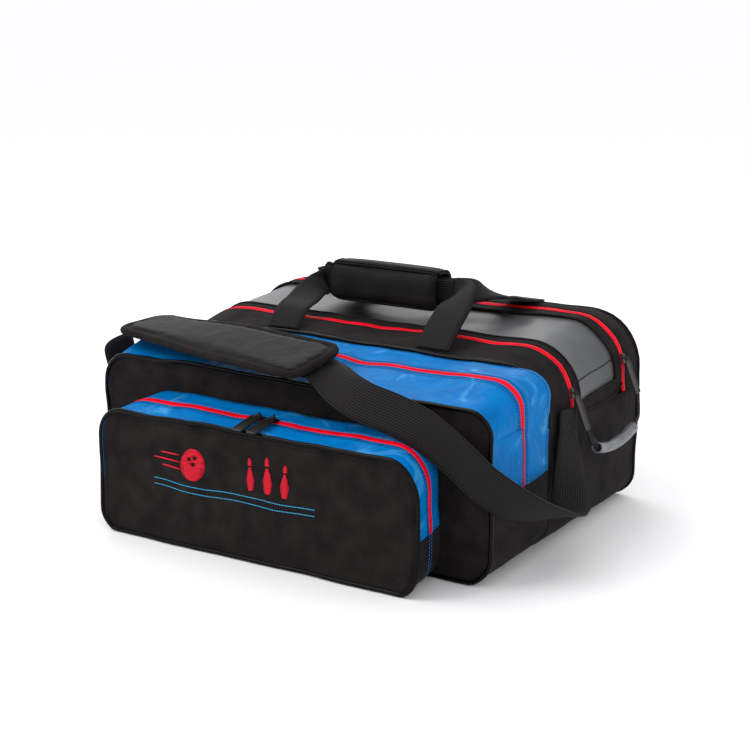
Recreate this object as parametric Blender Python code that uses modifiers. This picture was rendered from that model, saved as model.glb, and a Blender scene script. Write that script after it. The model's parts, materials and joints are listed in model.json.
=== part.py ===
"""A two-ball bowling bag: ball compartment, shoe pocket and accessory pocket, each its own sewn panels.

Metres, +Z up, +X to the right, the front of the bag towards -Y. The origin is on the floor, at the
middle of the bag's footprint. Every sewn panel, zip tape, slider, strap and foam part is one object.
"""
import math

import bmesh
import bpy
from mathutils import Matrix, Vector

# ---- driving dimensions ---------------------------------------------------------------------------
HALF_LENGTH = 0.270  # ball compartment and shoe pocket, half of the length along X
FRONT = -0.228  # front face of the accessory pocket
SHOE_FRONT = -0.157  # front face of the shoe pocket
BALL_FRONT = -0.019  # front face of the ball compartment
REAR = 0.228  # rear face of the ball compartment

ACCESSORY_LEFT, ACCESSORY_RIGHT = -0.223, 0.220
ACCESSORY_ZIP_Y = -0.1925
SHOE_ZIP_Y = -0.088
LID_FRONT_ZIP_Y, LID_REAR_ZIP_Y = 0.040, 0.183

CLOTH = 0.003  # a sewn panel with its foam backing
TAPE = 0.0012  # zip tape
TAPE_WIDTH = 0.0038  # one half of a zip
WEBBING = 0.0024
PIPING_RADIUS = 0.0022
GAP = 0.0004  # between neighbours that touch on the real bag

BALL_RADIUS = 0.1083  # a regulation ball, 216.6 mm across
BALL_X, BALL_Y = 0.125, 0.1045
BOARD_LOW, BOARD_HIGH = 0.0036, 0.0066
CRADLE_TOP = 0.070

ACCESSORY_HINGE_Z = 0.065
SHOE_HINGE_Z = 0.1685
SHOE_BLUE_LOW = 0.100  # where the coated side strips of the shoe pocket end
LID_LOW = 0.150  # where the lid ends, down each end of the bag
LID_RADIUS, BALL_BOTTOM_RADIUS = 0.065, 0.036
SHOE_RADIUS, SHOE_BOTTOM_RADIUS = 0.030, 0.038
ACCESSORY_RADIUS, ACCESSORY_BOTTOM_RADIUS = 0.038, 0.030
ACCESSORY_TAPER = 0.012  # how much nearer its sides are at the rear

CORNER_STEPS = 5
FRONT_HANDLE_HINGE = Vector((0.0, -0.0135, 0.2215))
REAR_HANDLE_HINGE = Vector((0.0, 0.2140, 0.2435))
STRAP_ANCHOR = Vector((0.2748, 0.020, 0.165))
LEFT_ANCHOR_Y = 0.0145  # on the left end the strap is sewn further forwards, clear of the lid as it opens
GRIP_LEFT, GRIP_RIGHT = -0.100, 0.062
GRIP_CENTRE_Y, GRIP_CENTRE_Z = 0.102, 0.268

# ---- start from an empty scene ---------------------------------------------------------------------
for old in list(bpy.data.objects):
    bpy.data.objects.remove(old, do_unlink=True)

parts = bpy.data.collections.new("bowling_ball_bag")
cutters = bpy.data.collections.new("cutters")
bpy.context.scene.collection.children.link(parts)
bpy.context.scene.collection.children.link(cutters)


def material(name, colour, roughness, metallic=0.0):
    """A Principled material of one colour."""
    made = bpy.data.materials.new(name)
    made.use_nodes = True
    shader = made.node_tree.nodes["Principled BSDF"]
    shader.inputs["Base Color"].default_value = (*colour, 1.0)
    shader.inputs["Roughness"].default_value = roughness
    shader.inputs["Metallic"].default_value = metallic
    return made


BLACK = (0.012, 0.012, 0.012)
BLUE = (0.004, 0.180, 0.560)
RED = (0.700, 0.004, 0.030)


def keep(obj, colour, roughness=0.8, metallic=0.0):
    """Give an object its own material and put it among the parts."""
    obj.data.materials.clear()
    obj.data.materials.append(material(obj.name, colour, roughness, metallic))
    parts.objects.link(obj)
    return obj


def mesh_object(name, bm):
    """A new object, not yet in a collection, from a bmesh."""
    bmesh.ops.remove_doubles(bm, verts=bm.verts, dist=0.00001)
    mesh = bpy.data.meshes.new(name)
    bm.to_mesh(mesh)
    bm.free()
    return bpy.data.objects.new(name, mesh)


# ---- outlines, as (x, z) points ----------------------------------------------------------------------
def arc(x, z, radius, start, end, steps=CORNER_STEPS):
    """Points on an arc, from one angle in degrees to another."""
    angles = [math.radians(start + (end - start) * i / steps) for i in range(steps + 1)]
    return [(x + radius * math.cos(a), z + radius * math.sin(a)) for a in angles]


def over(left, right, height, radius, low):
    """Up the left side from low, over the top and down the right side."""
    top = height - radius
    line = arc(left + radius, top, radius, 180, 90) + arc(right - radius, top, radius, 90, 0)
    return [(left, low)] + line + [(right, low)]


def under(left, right, radius, high):
    """Down the right side from high, under the bottom and up the left side."""
    line = arc(right - radius, radius, radius, 0, -90) + arc(left + radius, radius, radius, -90, -180)
    return [(right, high)] + line + [(left, high)]


# ---- the height of each compartment's top, from front to rear -----------------------------------------
BALL_TOP = ((BALL_FRONT, 0.218), (0.036, 0.228), (0.110, 0.237), (0.205, 0.242), (REAR, 0.236))
SHOE_TOP = ((SHOE_FRONT, 0.200), (SHOE_ZIP_Y, 0.2195), (BALL_FRONT, 0.2165))
ACCESSORY_TOP = ((FRONT, 0.153), (ACCESSORY_ZIP_Y, 0.1605), (SHOE_FRONT, 0.166))


def top_at(profile, y):
    """The height of a compartment's top at a depth."""
    for (y0, z0), (y1, z1) in zip(profile, profile[1:]):
        if y <= y1:
            return z0 + (z1 - z0) * (y - y0) / (y1 - y0)
    return profile[-1][1]


def ball_over(y, low=LID_LOW, lift=0.0):
    """The ball compartment's outline over the top, moved out by a lift."""
    side = HALF_LENGTH + lift
    return over(-side, side, top_at(BALL_TOP, y) + lift, LID_RADIUS + lift, low)


def shoe_over(y, low):
    """The shoe pocket's outline over the top, down to a height."""
    return over(-HALF_LENGTH, HALF_LENGTH, top_at(SHOE_TOP, y), SHOE_RADIUS, low)


def accessory_sides(y):
    """The accessory pocket's left and right at a depth: it narrows a little towards the rear."""
    inset = ACCESSORY_TAPER * (y - FRONT) / (SHOE_FRONT - FRONT)
    return ACCESSORY_LEFT + inset, ACCESSORY_RIGHT - inset, ACCESSORY_RADIUS + inset


def accessory_over(y, low):
    """The accessory pocket's outline over the top, down to a height."""
    left, right, radius = accessory_sides(y)
    return over(left, right, top_at(ACCESSORY_TOP, y), radius, low)


def accessory_under(y, high):
    """The accessory pocket's outline under the bottom, up to a height."""
    left, right, radius = accessory_sides(y)
    return under(left, right, ACCESSORY_BOTTOM_RADIUS, high)


# ---- makers ----------------------------------------------------------------------------------------------
def sheet(name, rows, thickness, colour, roughness=0.8, offset=-1.0):
    """A sheet of cloth through rows of points, with its thickness inwards."""
    bm = bmesh.new()
    grid = [[bm.verts.new(point) for point in row] for row in rows]
    for row, after in zip(grid, grid[1:]):
        for i in range(len(row) - 1):
            bm.faces.new((row[i], row[i + 1], after[i + 1], after[i]))
    obj = mesh_object(name, bm)
    solid = obj.modifiers.new("thickness", "SOLIDIFY")
    solid.thickness = thickness
    solid.offset = offset
    solid.use_even_offset = True
    return keep(obj, colour, roughness)


def band(name, line_at, depths, thickness, colour, roughness=0.8):
    """A strip that follows an outline, lofted through the outlines at several depths."""
    rows = [[(x, y, z) for x, z in line_at(y)] for y in depths]
    return sheet(name, rows, thickness, colour, roughness)


def panel(name, line, y_front, colour, thickness=CLOTH, roughness=0.8):
    """A flat upright panel cut to a closed outline, its front face at y_front."""
    area = sum(a[0] * b[1] - b[0] * a[1] for a, b in zip(line, line[1:] + line[:1]))
    if area < 0:
        line = line[::-1]
    curve = bpy.data.curves.new(name, "CURVE")
    curve.dimensions = "2D"
    curve.fill_mode = "BOTH"
    curve.extrude = thickness / 2
    spline = curve.splines.new("POLY")
    spline.points.add(len(line) - 1)
    for point, (x, z) in zip(spline.points, line):
        point.co = (x, z, 0.0, 1.0)
    spline.use_cyclic_u = True
    obj = bpy.data.objects.new(name, curve)
    obj.rotation_euler = (math.pi / 2, 0.0, 0.0)
    obj.location = (0.0, y_front + thickness / 2, 0.0)
    return keep(obj, colour, roughness)


def tube(name, points, radius, colour, roughness=0.5, cyclic=False):
    """A round cord or piping through points."""
    curve = bpy.data.curves.new(name, "CURVE")
    curve.dimensions = "3D"
    curve.bevel_depth = radius
    curve.bevel_resolution = 1
    curve.use_fill_caps = not cyclic
    spline = curve.splines.new("POLY")
    spline.points.add(len(points) - 1)
    for point, place in zip(spline.points, points):
        point.co = (*place, 1.0)
    spline.use_cyclic_u = cyclic
    return keep(bpy.data.objects.new(name, curve), colour, roughness)


def smooth_path(stations, steps):
    """Catmull-Rom points through (centre, across, width) stations."""
    ends = [stations[0]] + list(stations) + [stations[-1]]
    made = []
    for a, b, c, d in zip(ends, ends[1:], ends[2:], ends[3:]):
        for i in range(steps):
            t = i / steps
            weights = (
                -t / 2 + t * t - t**3 / 2,
                1 - 2.5 * t * t + 1.5 * t**3,
                t / 2 + 2 * t * t - 1.5 * t**3,
                -t * t / 2 + t**3 / 2,
            )
            centre = sum((w * Vector(s[0]) for w, s in zip(weights, (a, b, c, d))), Vector())
            across = (1 - t) * Vector(b[1]).normalized() + t * Vector(c[1]).normalized()
            made.append((centre, across, (1 - t) * b[2] + t * c[2]))
    made.append((Vector(stations[-1][0]), Vector(stations[-1][1]), stations[-1][2]))
    return made


def ribbon(name, stations, thickness, colour, steps=3):
    """Webbing along a path, turned so that it stays square to its own direction."""
    path = smooth_path(stations, steps)
    rows = []
    for i, (centre, across, width) in enumerate(path):
        ahead = path[min(i + 1, len(path) - 1)][0] - path[max(i - 1, 0)][0]
        ahead.normalize()
        side = (across - across.dot(ahead) * ahead).normalized() * width / 2
        rows.append((centre - side, centre + side))
    return sheet(name, rows, thickness, colour, 0.9, offset=0.0)


def joined(name, pieces):
    """The Boolean union of loose objects, as a mesh object that isn't in a collection."""
    first = None
    for piece in pieces:
        cutters.objects.link(piece)
        bpy.context.view_layer.update()
        evaluated = piece.evaluated_get(bpy.context.evaluated_depsgraph_get())
        mesh = bpy.data.meshes.new_from_object(evaluated)
        mesh.transform(piece.matrix_world)
        bpy.data.objects.remove(piece)
        bm = bmesh.new()
        bm.from_mesh(mesh)
        bmesh.ops.remove_doubles(bm, verts=bm.verts, dist=0.00001)
        bm.to_mesh(mesh)
        bm.free()
        solid = bpy.data.objects.new(name + "_piece", mesh)
        if first is None:
            first = solid
            cutters.objects.link(first)
            continue
        cutters.objects.link(solid)
        union = first.modifiers.new("union", "BOOLEAN")
        union.operation = "UNION"
        union.object = solid
        bpy.context.view_layer.update()
        evaluated = first.evaluated_get(bpy.context.evaluated_depsgraph_get())
        mesh = bpy.data.meshes.new_from_object(evaluated)
        bpy.data.objects.remove(solid)
        bpy.data.objects.remove(first)
        first = bpy.data.objects.new(name + "_piece", mesh)
        cutters.objects.link(first)
    cutters.objects.unlink(first)
    first.name = name
    first.data.name = name
    return first


def body(name, axis_point, *members):
    """Parent the pieces of one moving body to an empty on the body's joint axis."""
    empty = bpy.data.objects.new(name, None)
    empty.location = axis_point
    empty.empty_display_size = 0.02
    parts.objects.link(empty)
    for member in members:
        member.parent = empty
        member.matrix_parent_inverse = Matrix.Translation(-Vector(axis_point))
    return empty


def ride(empty, carrier):
    """Parent one body's empty to the body that carries it, where both stand."""
    empty.parent = carrier
    empty.matrix_parent_inverse = Matrix.Translation(-Vector(carrier.location))


def loose_box(size, centre, bevel=0.0):
    """A box that isn't in a collection yet, with rounded edges if a bevel is given."""
    bm = bmesh.new()
    bmesh.ops.create_cube(bm, size=1.0)
    bmesh.ops.scale(bm, vec=size, verts=bm.verts)
    bmesh.ops.translate(bm, vec=centre, verts=bm.verts)
    obj = mesh_object("box", bm)
    if bevel:
        rounded = obj.modifiers.new("rounded", "BEVEL")
        rounded.width = bevel
        rounded.segments = 2
    return obj


# ---- ball compartment ---------------------------------------------------------------------------------------
INNER_FRONT = BALL_FRONT + CLOTH + GAP
INNER_REAR = REAR - CLOTH - GAP
FRONT_ZIP_OUT = LID_FRONT_ZIP_Y - GAP / 2 - TAPE_WIDTH
REAR_ZIP_OUT = LID_REAR_ZIP_Y + GAP / 2 + TAPE_WIDTH


def ball_outline(y):
    """The whole closed outline of the ball compartment's upright panels."""
    return ball_over(y) + under(-HALF_LENGTH, HALF_LENGTH, BALL_BOTTOM_RADIUS, 0.1)[1:-1]


def piping_line(line, inset, y):
    """A closed outline moved inwards a little and set at a depth."""
    middle_x = sum(x for x, z in line) / len(line)
    middle_z = sum(z for x, z in line) / len(line)
    made = []
    for i, (x, z) in enumerate(line):
        before, after = line[i - 1], line[(i + 1) % len(line)]
        along = Vector((after[0] - before[0], after[1] - before[1])).normalized()
        normal = Vector((-along.y, along.x))
        if normal.dot(Vector((middle_x - x, middle_z - z))) < 0:
            normal = -normal
        made.append((x + normal.x * inset, y, z + normal.y * inset))
    return made


panel("main_front_panel", ball_outline(BALL_FRONT), BALL_FRONT, BLACK)
panel("main_rear_panel", ball_outline(REAR), REAR - CLOTH, BLACK)
band("main_front_gusset", ball_over, (INNER_FRONT, FRONT_ZIP_OUT - GAP), CLOTH, BLACK)
band("main_rear_gusset", ball_over, (REAR_ZIP_OUT + GAP, 0.205, INNER_REAR), CLOTH, BLACK)
band("lid_front_zip_bag_tape", ball_over, (FRONT_ZIP_OUT, LID_FRONT_ZIP_Y - GAP / 2), TAPE, RED, 0.5)
band("lid_rear_zip_bag_tape", ball_over, (LID_REAR_ZIP_Y + GAP / 2, REAR_ZIP_OUT), TAPE, RED, 0.5)

corner = HALF_LENGTH - BALL_BOTTOM_RADIUS
right_end = [(HALF_LENGTH, LID_LOW - 2.5 * GAP)]
right_end += arc(corner, BALL_BOTTOM_RADIUS, BALL_BOTTOM_RADIUS, 0, -90)
left_end = [(-x, z) for x, z in reversed(right_end)]
floor_half = corner - 2.5 * GAP
floor_line = [(floor_half, 0.0), (0.0, 0.0), (-floor_half, 0.0)]
walls = (INNER_FRONT, INNER_REAR)
band("main_right_end_panel", lambda y: right_end, walls, CLOTH, BLACK)
band("main_left_end_panel", lambda y: left_end, walls, CLOTH, BLACK)
band("main_bottom_panel", lambda y: floor_line, walls, CLOTH, BLACK)


def edge_piping(name, line, y, cyclic=True):
    """Piping along a panel's edge, just inside its outline."""
    inset = PIPING_RADIUS + 0.0006
    return tube(name, piping_line(line, inset, y), PIPING_RADIUS, BLACK, 0.25, cyclic)


PIPING_BACK = 0.0003
edge_piping("main_rear_piping", ball_outline(REAR), REAR + PIPING_RADIUS + PIPING_BACK)
# the front edge's piping stands on the top; below it the shoe pocket covers the edge
FRONT_PIPING_Y = BALL_FRONT + PIPING_RADIUS
front_edge = ball_over(FRONT_PIPING_Y, lift=PIPING_RADIUS + PIPING_BACK)[2:-2]
tube("main_front_piping", [(x, FRONT_PIPING_Y, z) for x, z in front_edge], PIPING_RADIUS, BLACK, 0.25)

# ---- inside the ball compartment -----------------------------------------------------------------------------
BOARD_HALF = 0.228
BOARD_CLEAR = 0.0012
board_y = (INNER_FRONT + INNER_REAR) / 2
board_depth = INNER_REAR - INNER_FRONT - 2 * CLOTH
board = loose_box(
    (2 * BOARD_HALF, board_depth, BOARD_HIGH - BOARD_LOW),
    (0.0, board_y, (BOARD_LOW + BOARD_HIGH) / 2),
)
board.name = "base_board"
keep(board, (0.05, 0.05, 0.05), 0.6)

cradle_low = BOARD_HIGH + GAP
cradle = loose_box(
    (2 * BOARD_HALF, board_depth - 2 * BOARD_CLEAR, CRADLE_TOP - cradle_low),
    (0.0, board_y, (CRADLE_TOP + cradle_low) / 2),
)
cradle.name = "ball_cradle"
keep(cradle, (0.03, 0.03, 0.03), 0.95)
CUP_CLEAR = 0.0017
CUP_FLOOR = 0.009  # foam left under each ball
for side in (-1, 1):
    bm = bmesh.new()
    bmesh.ops.create_uvsphere(bm, u_segments=24, v_segments=16, radius=BALL_RADIUS + CUP_CLEAR)
    cup = mesh_object("cup_cutter", bm)
    cup.location = (side * BALL_X, BALL_Y, cradle_low + CUP_FLOOR + BALL_RADIUS + CUP_CLEAR)
    cup.hide_render = True
    cup.display_type = "WIRE"
    cutters.objects.link(cup)
    cut = cradle.modifiers.new("cup", "BOOLEAN")
    cut.operation = "DIFFERENCE"
    cut.object = cup

# ---- lid -------------------------------------------------------------------------------------------------------
LID_FRONT = LID_FRONT_ZIP_Y + GAP / 2
LID_REAR = LID_REAR_ZIP_Y - GAP / 2
BORDER_FRONT = LID_FRONT + TAPE_WIDTH + GAP
BORDER_REAR = LID_REAR - TAPE_WIDTH - GAP
WINDOW_FRONT, WINDOW_REAR = 0.060, 0.160
WINDOW_LOW = LID_LOW + 0.011
LID_BORDER = 0.0022
WINDOW_LAP = 0.006
WINDOW_FILM = 0.0009


def lid_border():
    """The bound cloth frame of the lid, with the window's opening left out of its loft."""
    depths = (BORDER_FRONT, WINDOW_FRONT, 0.110, WINDOW_REAR, BORDER_REAR)
    bm = bmesh.new()
    grid = []
    for y in depths:
        line = ball_over(y)
        line.insert(1, (line[0][0], WINDOW_LOW))
        line.insert(-1, (line[-1][0], WINDOW_LOW))
        grid.append([bm.verts.new((x, y, z)) for x, z in line])
    last = len(grid[0]) - 2
    for j, (row, after) in enumerate(zip(grid, grid[1:])):
        for i in range(len(row) - 1):
            in_window = depths[j] >= WINDOW_FRONT and depths[j + 1] <= WINDOW_REAR
            if in_window and 0 < i < last:
                continue
            bm.faces.new((row[i], row[i + 1], after[i + 1], after[i]))
    obj = mesh_object("lid_border", bm)
    solid = obj.modifiers.new("thickness", "SOLIDIFY")
    solid.thickness = LID_BORDER
    solid.offset = -1.0
    solid.use_even_offset = True
    return keep(obj, BLACK)


def window_line(y):
    """The clear film just inside the border, lapping under it all round."""
    return ball_over(y, WINDOW_LOW - WINDOW_LAP, -LID_BORDER - GAP)


border = lid_border()
window_depths = (WINDOW_FRONT - WINDOW_LAP, 0.110, WINDOW_REAR + WINDOW_LAP)
window = band("lid_window", window_line, window_depths, WINDOW_FILM, (0.35, 0.36, 0.37), 0.15)
lid_tape_front = band(
    "lid_front_zip_lid_tape", ball_over, (LID_FRONT, LID_FRONT + TAPE_WIDTH), TAPE, RED, 0.5
)
lid_tape_rear = band(
    "lid_rear_zip_lid_tape", ball_over, (LID_REAR - TAPE_WIDTH, LID_REAR), TAPE, RED, 0.5
)
LID_HINGE = Vector((-HALF_LENGTH, (LID_FRONT_ZIP_Y + LID_REAR_ZIP_Y) / 2, LID_LOW))
lid = body("lid", LID_HINGE, border, window, lid_tape_front, lid_tape_rear)

# ---- zip sliders and pulls ----------------------------------------------------------------------------------------
SLIDER_LIFT = 0.0004
PLATE = (0.0125, 0.0085, 0.0016)
BRIDGE_RADIUS, BRIDGE_HALF = 0.0008, 0.0040
PIVOT_LIFT = 0.0058  # height of the bridge's wire, where the pull hangs, above the tape
RING_RADIUS, RING_WIRE, RING_OFFSET = 0.0024, 0.0006, 0.0006
PULL_WIDTH, PULL_THICK = 0.0090, 0.0015


def slider(name, place, turn, bridge_turn=0.0):
    """A zip slider: a rounded plate with a wire bridge. It sits on the tape, along its own X."""
    plate = loose_box(PLATE, (0.0, 0.0, SLIDER_LIFT + PLATE[2] / 2), 0.0006)
    nose = loose_box((0.0050, 0.0062, 0.0026), (-0.0030, 0.0, SLIDER_LIFT + 0.0013), 0.0006)
    curve = bpy.data.curves.new("bridge", "CURVE")
    curve.dimensions = "3D"
    curve.bevel_depth = BRIDGE_RADIUS
    curve.bevel_resolution = 1
    curve.use_fill_caps = True
    rise = PIVOT_LIFT - SLIDER_LIFT - PLATE[2] / 2
    shape = arc(0.0, 0.0, 1.0, 180, 0, 6)
    spline = curve.splines.new("POLY")
    spline.points.add(len(shape) - 1)
    for point, (x, z) in zip(spline.points, shape):
        along = x * BRIDGE_HALF
        across = Vector((along, 0.0, 0.0))
        across.rotate(Matrix.Rotation(bridge_turn, 3, "Z"))
        point.co = (across.x, across.y, SLIDER_LIFT + PLATE[2] / 2 + rise * z, 1.0)
    bridge = bpy.data.objects.new("bridge", curve)
    obj = joined(name, [plate, nose, bridge])
    obj.matrix_world = Matrix.Translation(place) @ turn.to_4x4()
    return keep(obj, (0.01, 0.01, 0.01), 0.3, 0.3)


def pull(name, pivot, turn, length):
    """A slotted pull on a ring. It hangs from its pivot along its own -Y, flat to its own Z."""
    bm = bmesh.new()
    steps, sides = 12, 6
    rings = []
    for i in range(steps):
        a = 2 * math.pi * i / steps
        middle = Vector((0.0, -RING_OFFSET + RING_RADIUS * math.cos(a), RING_RADIUS * math.sin(a)))
        outward = Vector((0.0, math.cos(a), math.sin(a)))
        row = []
        for j in range(sides):
            b = 2 * math.pi * j / sides
            row.append(bm.verts.new(middle + RING_WIRE * (math.cos(b) * outward + Vector((math.sin(b), 0, 0)))))
        rings.append(row)
    for i, row in enumerate(rings):
        after = rings[(i + 1) % steps]
        for j in range(sides):
            k = (j + 1) % sides
            bm.faces.new((row[j], row[k], after[k], after[j]))
    bmesh.ops.recalc_face_normals(bm, faces=bm.faces)
    ring = mesh_object("ring", bm)

    start = RING_OFFSET + RING_RADIUS - 0.0004
    curve = bpy.data.curves.new("plate", "CURVE")
    curve.dimensions = "2D"
    curve.fill_mode = "BOTH"
    curve.extrude = PULL_THICK / 2
    half = PULL_WIDTH / 2
    outline = [(-0.0018, -start), (-half, -start - 0.004), (-half, -length + 0.0015)]
    outline += [(-half + 0.0015, -length), (half - 0.0015, -length), (half, -length + 0.0015)]
    outline += [(half, -start - 0.004), (0.0018, -start)]
    slot_low, slot_high, slot_half = -length + 0.0035, -start - 0.009, 0.0016
    slot = [(-slot_half, slot_low), (-slot_half, slot_high), (slot_half, slot_high), (slot_half, slot_low)]
    for line in (outline, slot):
        spline = curve.splines.new("POLY")
        spline.points.add(len(line) - 1)
        for point, (x, y) in zip(spline.points, line):
            point.co = (x, y, 0.0, 1.0)
        spline.use_cyclic_u = True
    plate = bpy.data.objects.new("plate", curve)
    obj = joined(name, [plate, ring])
    obj.matrix_world = Matrix.Translation(pivot) @ turn.to_4x4()
    return keep(obj, (0.01, 0.01, 0.01), 0.3, 0.3)


def pocket_slider(prefix, x, y, height, slope, droop, length, flip):
    """A slider on a pocket's top with its pull hanging forwards; returns its two bodies."""
    tilt = Matrix.Rotation(slope, 3, "X")
    up = tilt @ Vector((0.0, 0.0, 1.0))
    base = Vector((x, y, height))
    pivot = base + PIVOT_LIFT * up
    turn = tilt @ Matrix.Rotation(math.pi if flip else 0.0, 3, "Z")
    slide = slider(prefix + "_slider", base, turn)
    tab = pull(prefix + "_pull", pivot, Matrix.Rotation(droop, 3, "X"), length)
    slide_body = body(prefix + "_slider_body", pivot, slide)
    pull_body = body(prefix + "_pull_body", pivot, tab)
    ride(pull_body, slide_body)
    return slide_body


# lid sliders stand on the rounded right corner of the lid, over the two zips
SLIDER_ANGLE = math.radians(13.0)
LID_CORNER_X = HALF_LENGTH - LID_RADIUS
PULL_LEAN = math.radians(22.0)
LID_PULL_LENGTH = 0.046


def lid_slider(prefix, y):
    """A lid slider and its pull; returns both, the corner's centre, the pivot and the pull's end."""
    centre = Vector((LID_CORNER_X, y, top_at(BALL_TOP, y) - LID_RADIUS))
    out = Vector((math.cos(SLIDER_ANGLE), 0.0, math.sin(SLIDER_ANGLE)))
    along = Vector((math.sin(SLIDER_ANGLE), 0.0, -math.cos(SLIDER_ANGLE)))
    side = out.cross(along)
    turn = Matrix((along, side, out)).transposed()
    base = centre + LID_RADIUS * out
    pivot = base + PIVOT_LIFT * out
    slide = slider(prefix + "_slider", base, turn, math.pi / 2)
    down = Vector((math.sin(PULL_LEAN), 0.0, -math.cos(PULL_LEAN)))
    face = Vector((math.cos(PULL_LEAN), 0.0, math.sin(PULL_LEAN)))
    pull_turn = Matrix(((-down).cross(face), -down, face)).transposed()
    tab = pull(prefix + "_pull", pivot, pull_turn, LID_PULL_LENGTH)
    return slide, tab, centre, pivot, pivot + LID_PULL_LENGTH * down


front_slide, front_tab, front_centre, front_pivot, front_tip = lid_slider("lid_front", LID_FRONT_ZIP_Y)
rear_slide, rear_tab, rear_centre, rear_pivot, rear_tip = lid_slider("lid_rear", LID_REAR_ZIP_Y)
lid_sliders = body("lid_sliders", (front_centre + rear_centre) / 2, front_slide, rear_slide)
ride(lid_sliders, lid)

# a webbing loop through a clear tube joins the two lid pulls
HANDLE_WEB_WIDTH = 0.0085
TUBE_OUTER, TUBE_WALL = 0.0066, 0.0012
TUBE_X = front_tip.x + 0.003
TUBE_Z = 0.103
tube_line = [Vector((TUBE_X, 0.060 + 0.105 * i / 6, TUBE_Z + 0.008 * (i / 3 - 1) ** 2)) for i in range(7)]


def clear_tube(name):
    """An open hose along the tube's line."""
    rows = []
    for i, place in enumerate(tube_line):
        before, after = tube_line[max(i - 1, 0)], tube_line[min(i + 1, 6)]
        along = (after - before).normalized()
        level = Vector((1.0, 0.0, 0.0))
        upward = level.cross(along)
        circle = [-2 * math.pi * k / 12 for k in range(13)]
        rows.append([place + TUBE_OUTER * (math.cos(a) * level + math.sin(a) * upward) for a in circle])
    return sheet(name, rows, TUBE_WALL, (0.6, 0.62, 0.64), 0.2)


def handle_stations():
    """The loop of webbing from the front pull's end, through the tube, to the rear pull's end."""
    start = front_tip + Vector((0.0006, 0.0, -0.0006))
    end = rear_tip + Vector((0.0006, 0.0, -0.0006))
    stations = [(start, (0, 1, 0), HANDLE_WEB_WIDTH)]
    stations.append((Vector((TUBE_X, 0.0435, 0.126)), (0.1, 1, 0.3), HANDLE_WEB_WIDTH))
    stations.append((tube_line[0] + Vector((0.0, -0.005, 0.006)), (0.0, 1, 1), HANDLE_WEB_WIDTH))
    stations += [(place, (0, 0, 1), HANDLE_WEB_WIDTH * 0.9) for place in tube_line]
    stations.append((tube_line[-1] + Vector((0.0, 0.006, 0.005)), (0.0, -1, 1), HANDLE_WEB_WIDTH))
    stations.append((Vector((TUBE_X, 0.180, 0.124)), (0.1, -1, 0.3), HANDLE_WEB_WIDTH))
    stations.append((end, (0, -1, 0), HANDLE_WEB_WIDTH))
    return stations


hose = clear_tube("pull_handle_tube")
loop = ribbon("pull_handle_webbing", handle_stations(), 0.0014, BLACK, steps=2)
pull_handle = body("pull_handle", (front_pivot + rear_pivot) / 2, front_tab, rear_tab, hose, loop)
ride(pull_handle, lid_sliders)

# ---- shoe pocket ------------------------------------------------------------------------------------------------------
SHOE_IN_FRONT = SHOE_FRONT + CLOTH + GAP
SHOE_IN_REAR = BALL_FRONT - GAP
SHOE_ZIP_FRONT = SHOE_ZIP_Y - GAP / 2 - TAPE_WIDTH
SHOE_ZIP_REAR = SHOE_ZIP_Y + GAP / 2 + TAPE_WIDTH


panel(
    "shoe_pocket_front_panel",
    under(-HALF_LENGTH, HALF_LENGTH, SHOE_BOTTOM_RADIUS, SHOE_HINGE_Z - GAP),
    SHOE_FRONT,
    BLACK,
)
band(
    "shoe_pocket_rear_gusset",
    lambda y: shoe_over(y, SHOE_BLUE_LOW),
    (SHOE_ZIP_REAR + GAP, SHOE_IN_REAR),
    CLOTH,
    BLUE,
    0.35,
)
band(
    "shoe_zip_bag_tape",
    lambda y: shoe_over(y, SHOE_BLUE_LOW),
    (SHOE_ZIP_Y + GAP / 2, SHOE_ZIP_REAR),
    TAPE,
    RED,
    0.5,
)
shoe_lower = under(-HALF_LENGTH, HALF_LENGTH, SHOE_BOTTOM_RADIUS, SHOE_BLUE_LOW - GAP)
band("shoe_pocket_lower_band", lambda y: shoe_lower, (SHOE_IN_FRONT, SHOE_IN_REAR), CLOTH, BLACK)
for name, side in (("left", -1), ("right", 1)):
    strip = [(side * HALF_LENGTH, SHOE_BLUE_LOW), (side * HALF_LENGTH, SHOE_HINGE_Z - GAP)]
    if side > 0:
        strip.reverse()
    depths = (SHOE_IN_FRONT, SHOE_ZIP_Y - GAP / 2)
    band("shoe_" + name + "_side_strip", lambda y, strip=strip: strip, depths, CLOTH, BLUE, 0.35)

shoe_flap_pieces = [
    panel(
        "shoe_flap_panel",
        over(-HALF_LENGTH, HALF_LENGTH, top_at(SHOE_TOP, SHOE_FRONT), SHOE_RADIUS, SHOE_HINGE_Z),
        SHOE_FRONT,
        BLACK,
    ),
    band(
        "shoe_flap_gusset",
        lambda y: shoe_over(y, SHOE_HINGE_Z),
        (SHOE_IN_FRONT, SHOE_ZIP_FRONT - GAP),
        CLOTH,
        BLUE,
        0.35,
    ),
    band(
        "shoe_zip_flap_tape",
        lambda y: shoe_over(y, SHOE_HINGE_Z),
        (SHOE_ZIP_FRONT, SHOE_ZIP_Y - GAP / 2),
        TAPE,
        RED,
        0.5,
    ),
    edge_piping(
        "shoe_flap_piping",
        over(-HALF_LENGTH, HALF_LENGTH, top_at(SHOE_TOP, SHOE_FRONT), SHOE_RADIUS, SHOE_HINGE_Z),
        SHOE_FRONT - PIPING_RADIUS - PIPING_BACK,
        cyclic=False,
    ),
]
edge_piping(
    "shoe_pocket_piping",
    under(-HALF_LENGTH, HALF_LENGTH, SHOE_BOTTOM_RADIUS, SHOE_HINGE_Z - 0.002),
    SHOE_FRONT - PIPING_RADIUS - PIPING_BACK,
    cyclic=False,
)
shoe_flap = body("shoe_flap", (0.0, SHOE_FRONT, SHOE_HINGE_Z), *shoe_flap_pieces)
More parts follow.
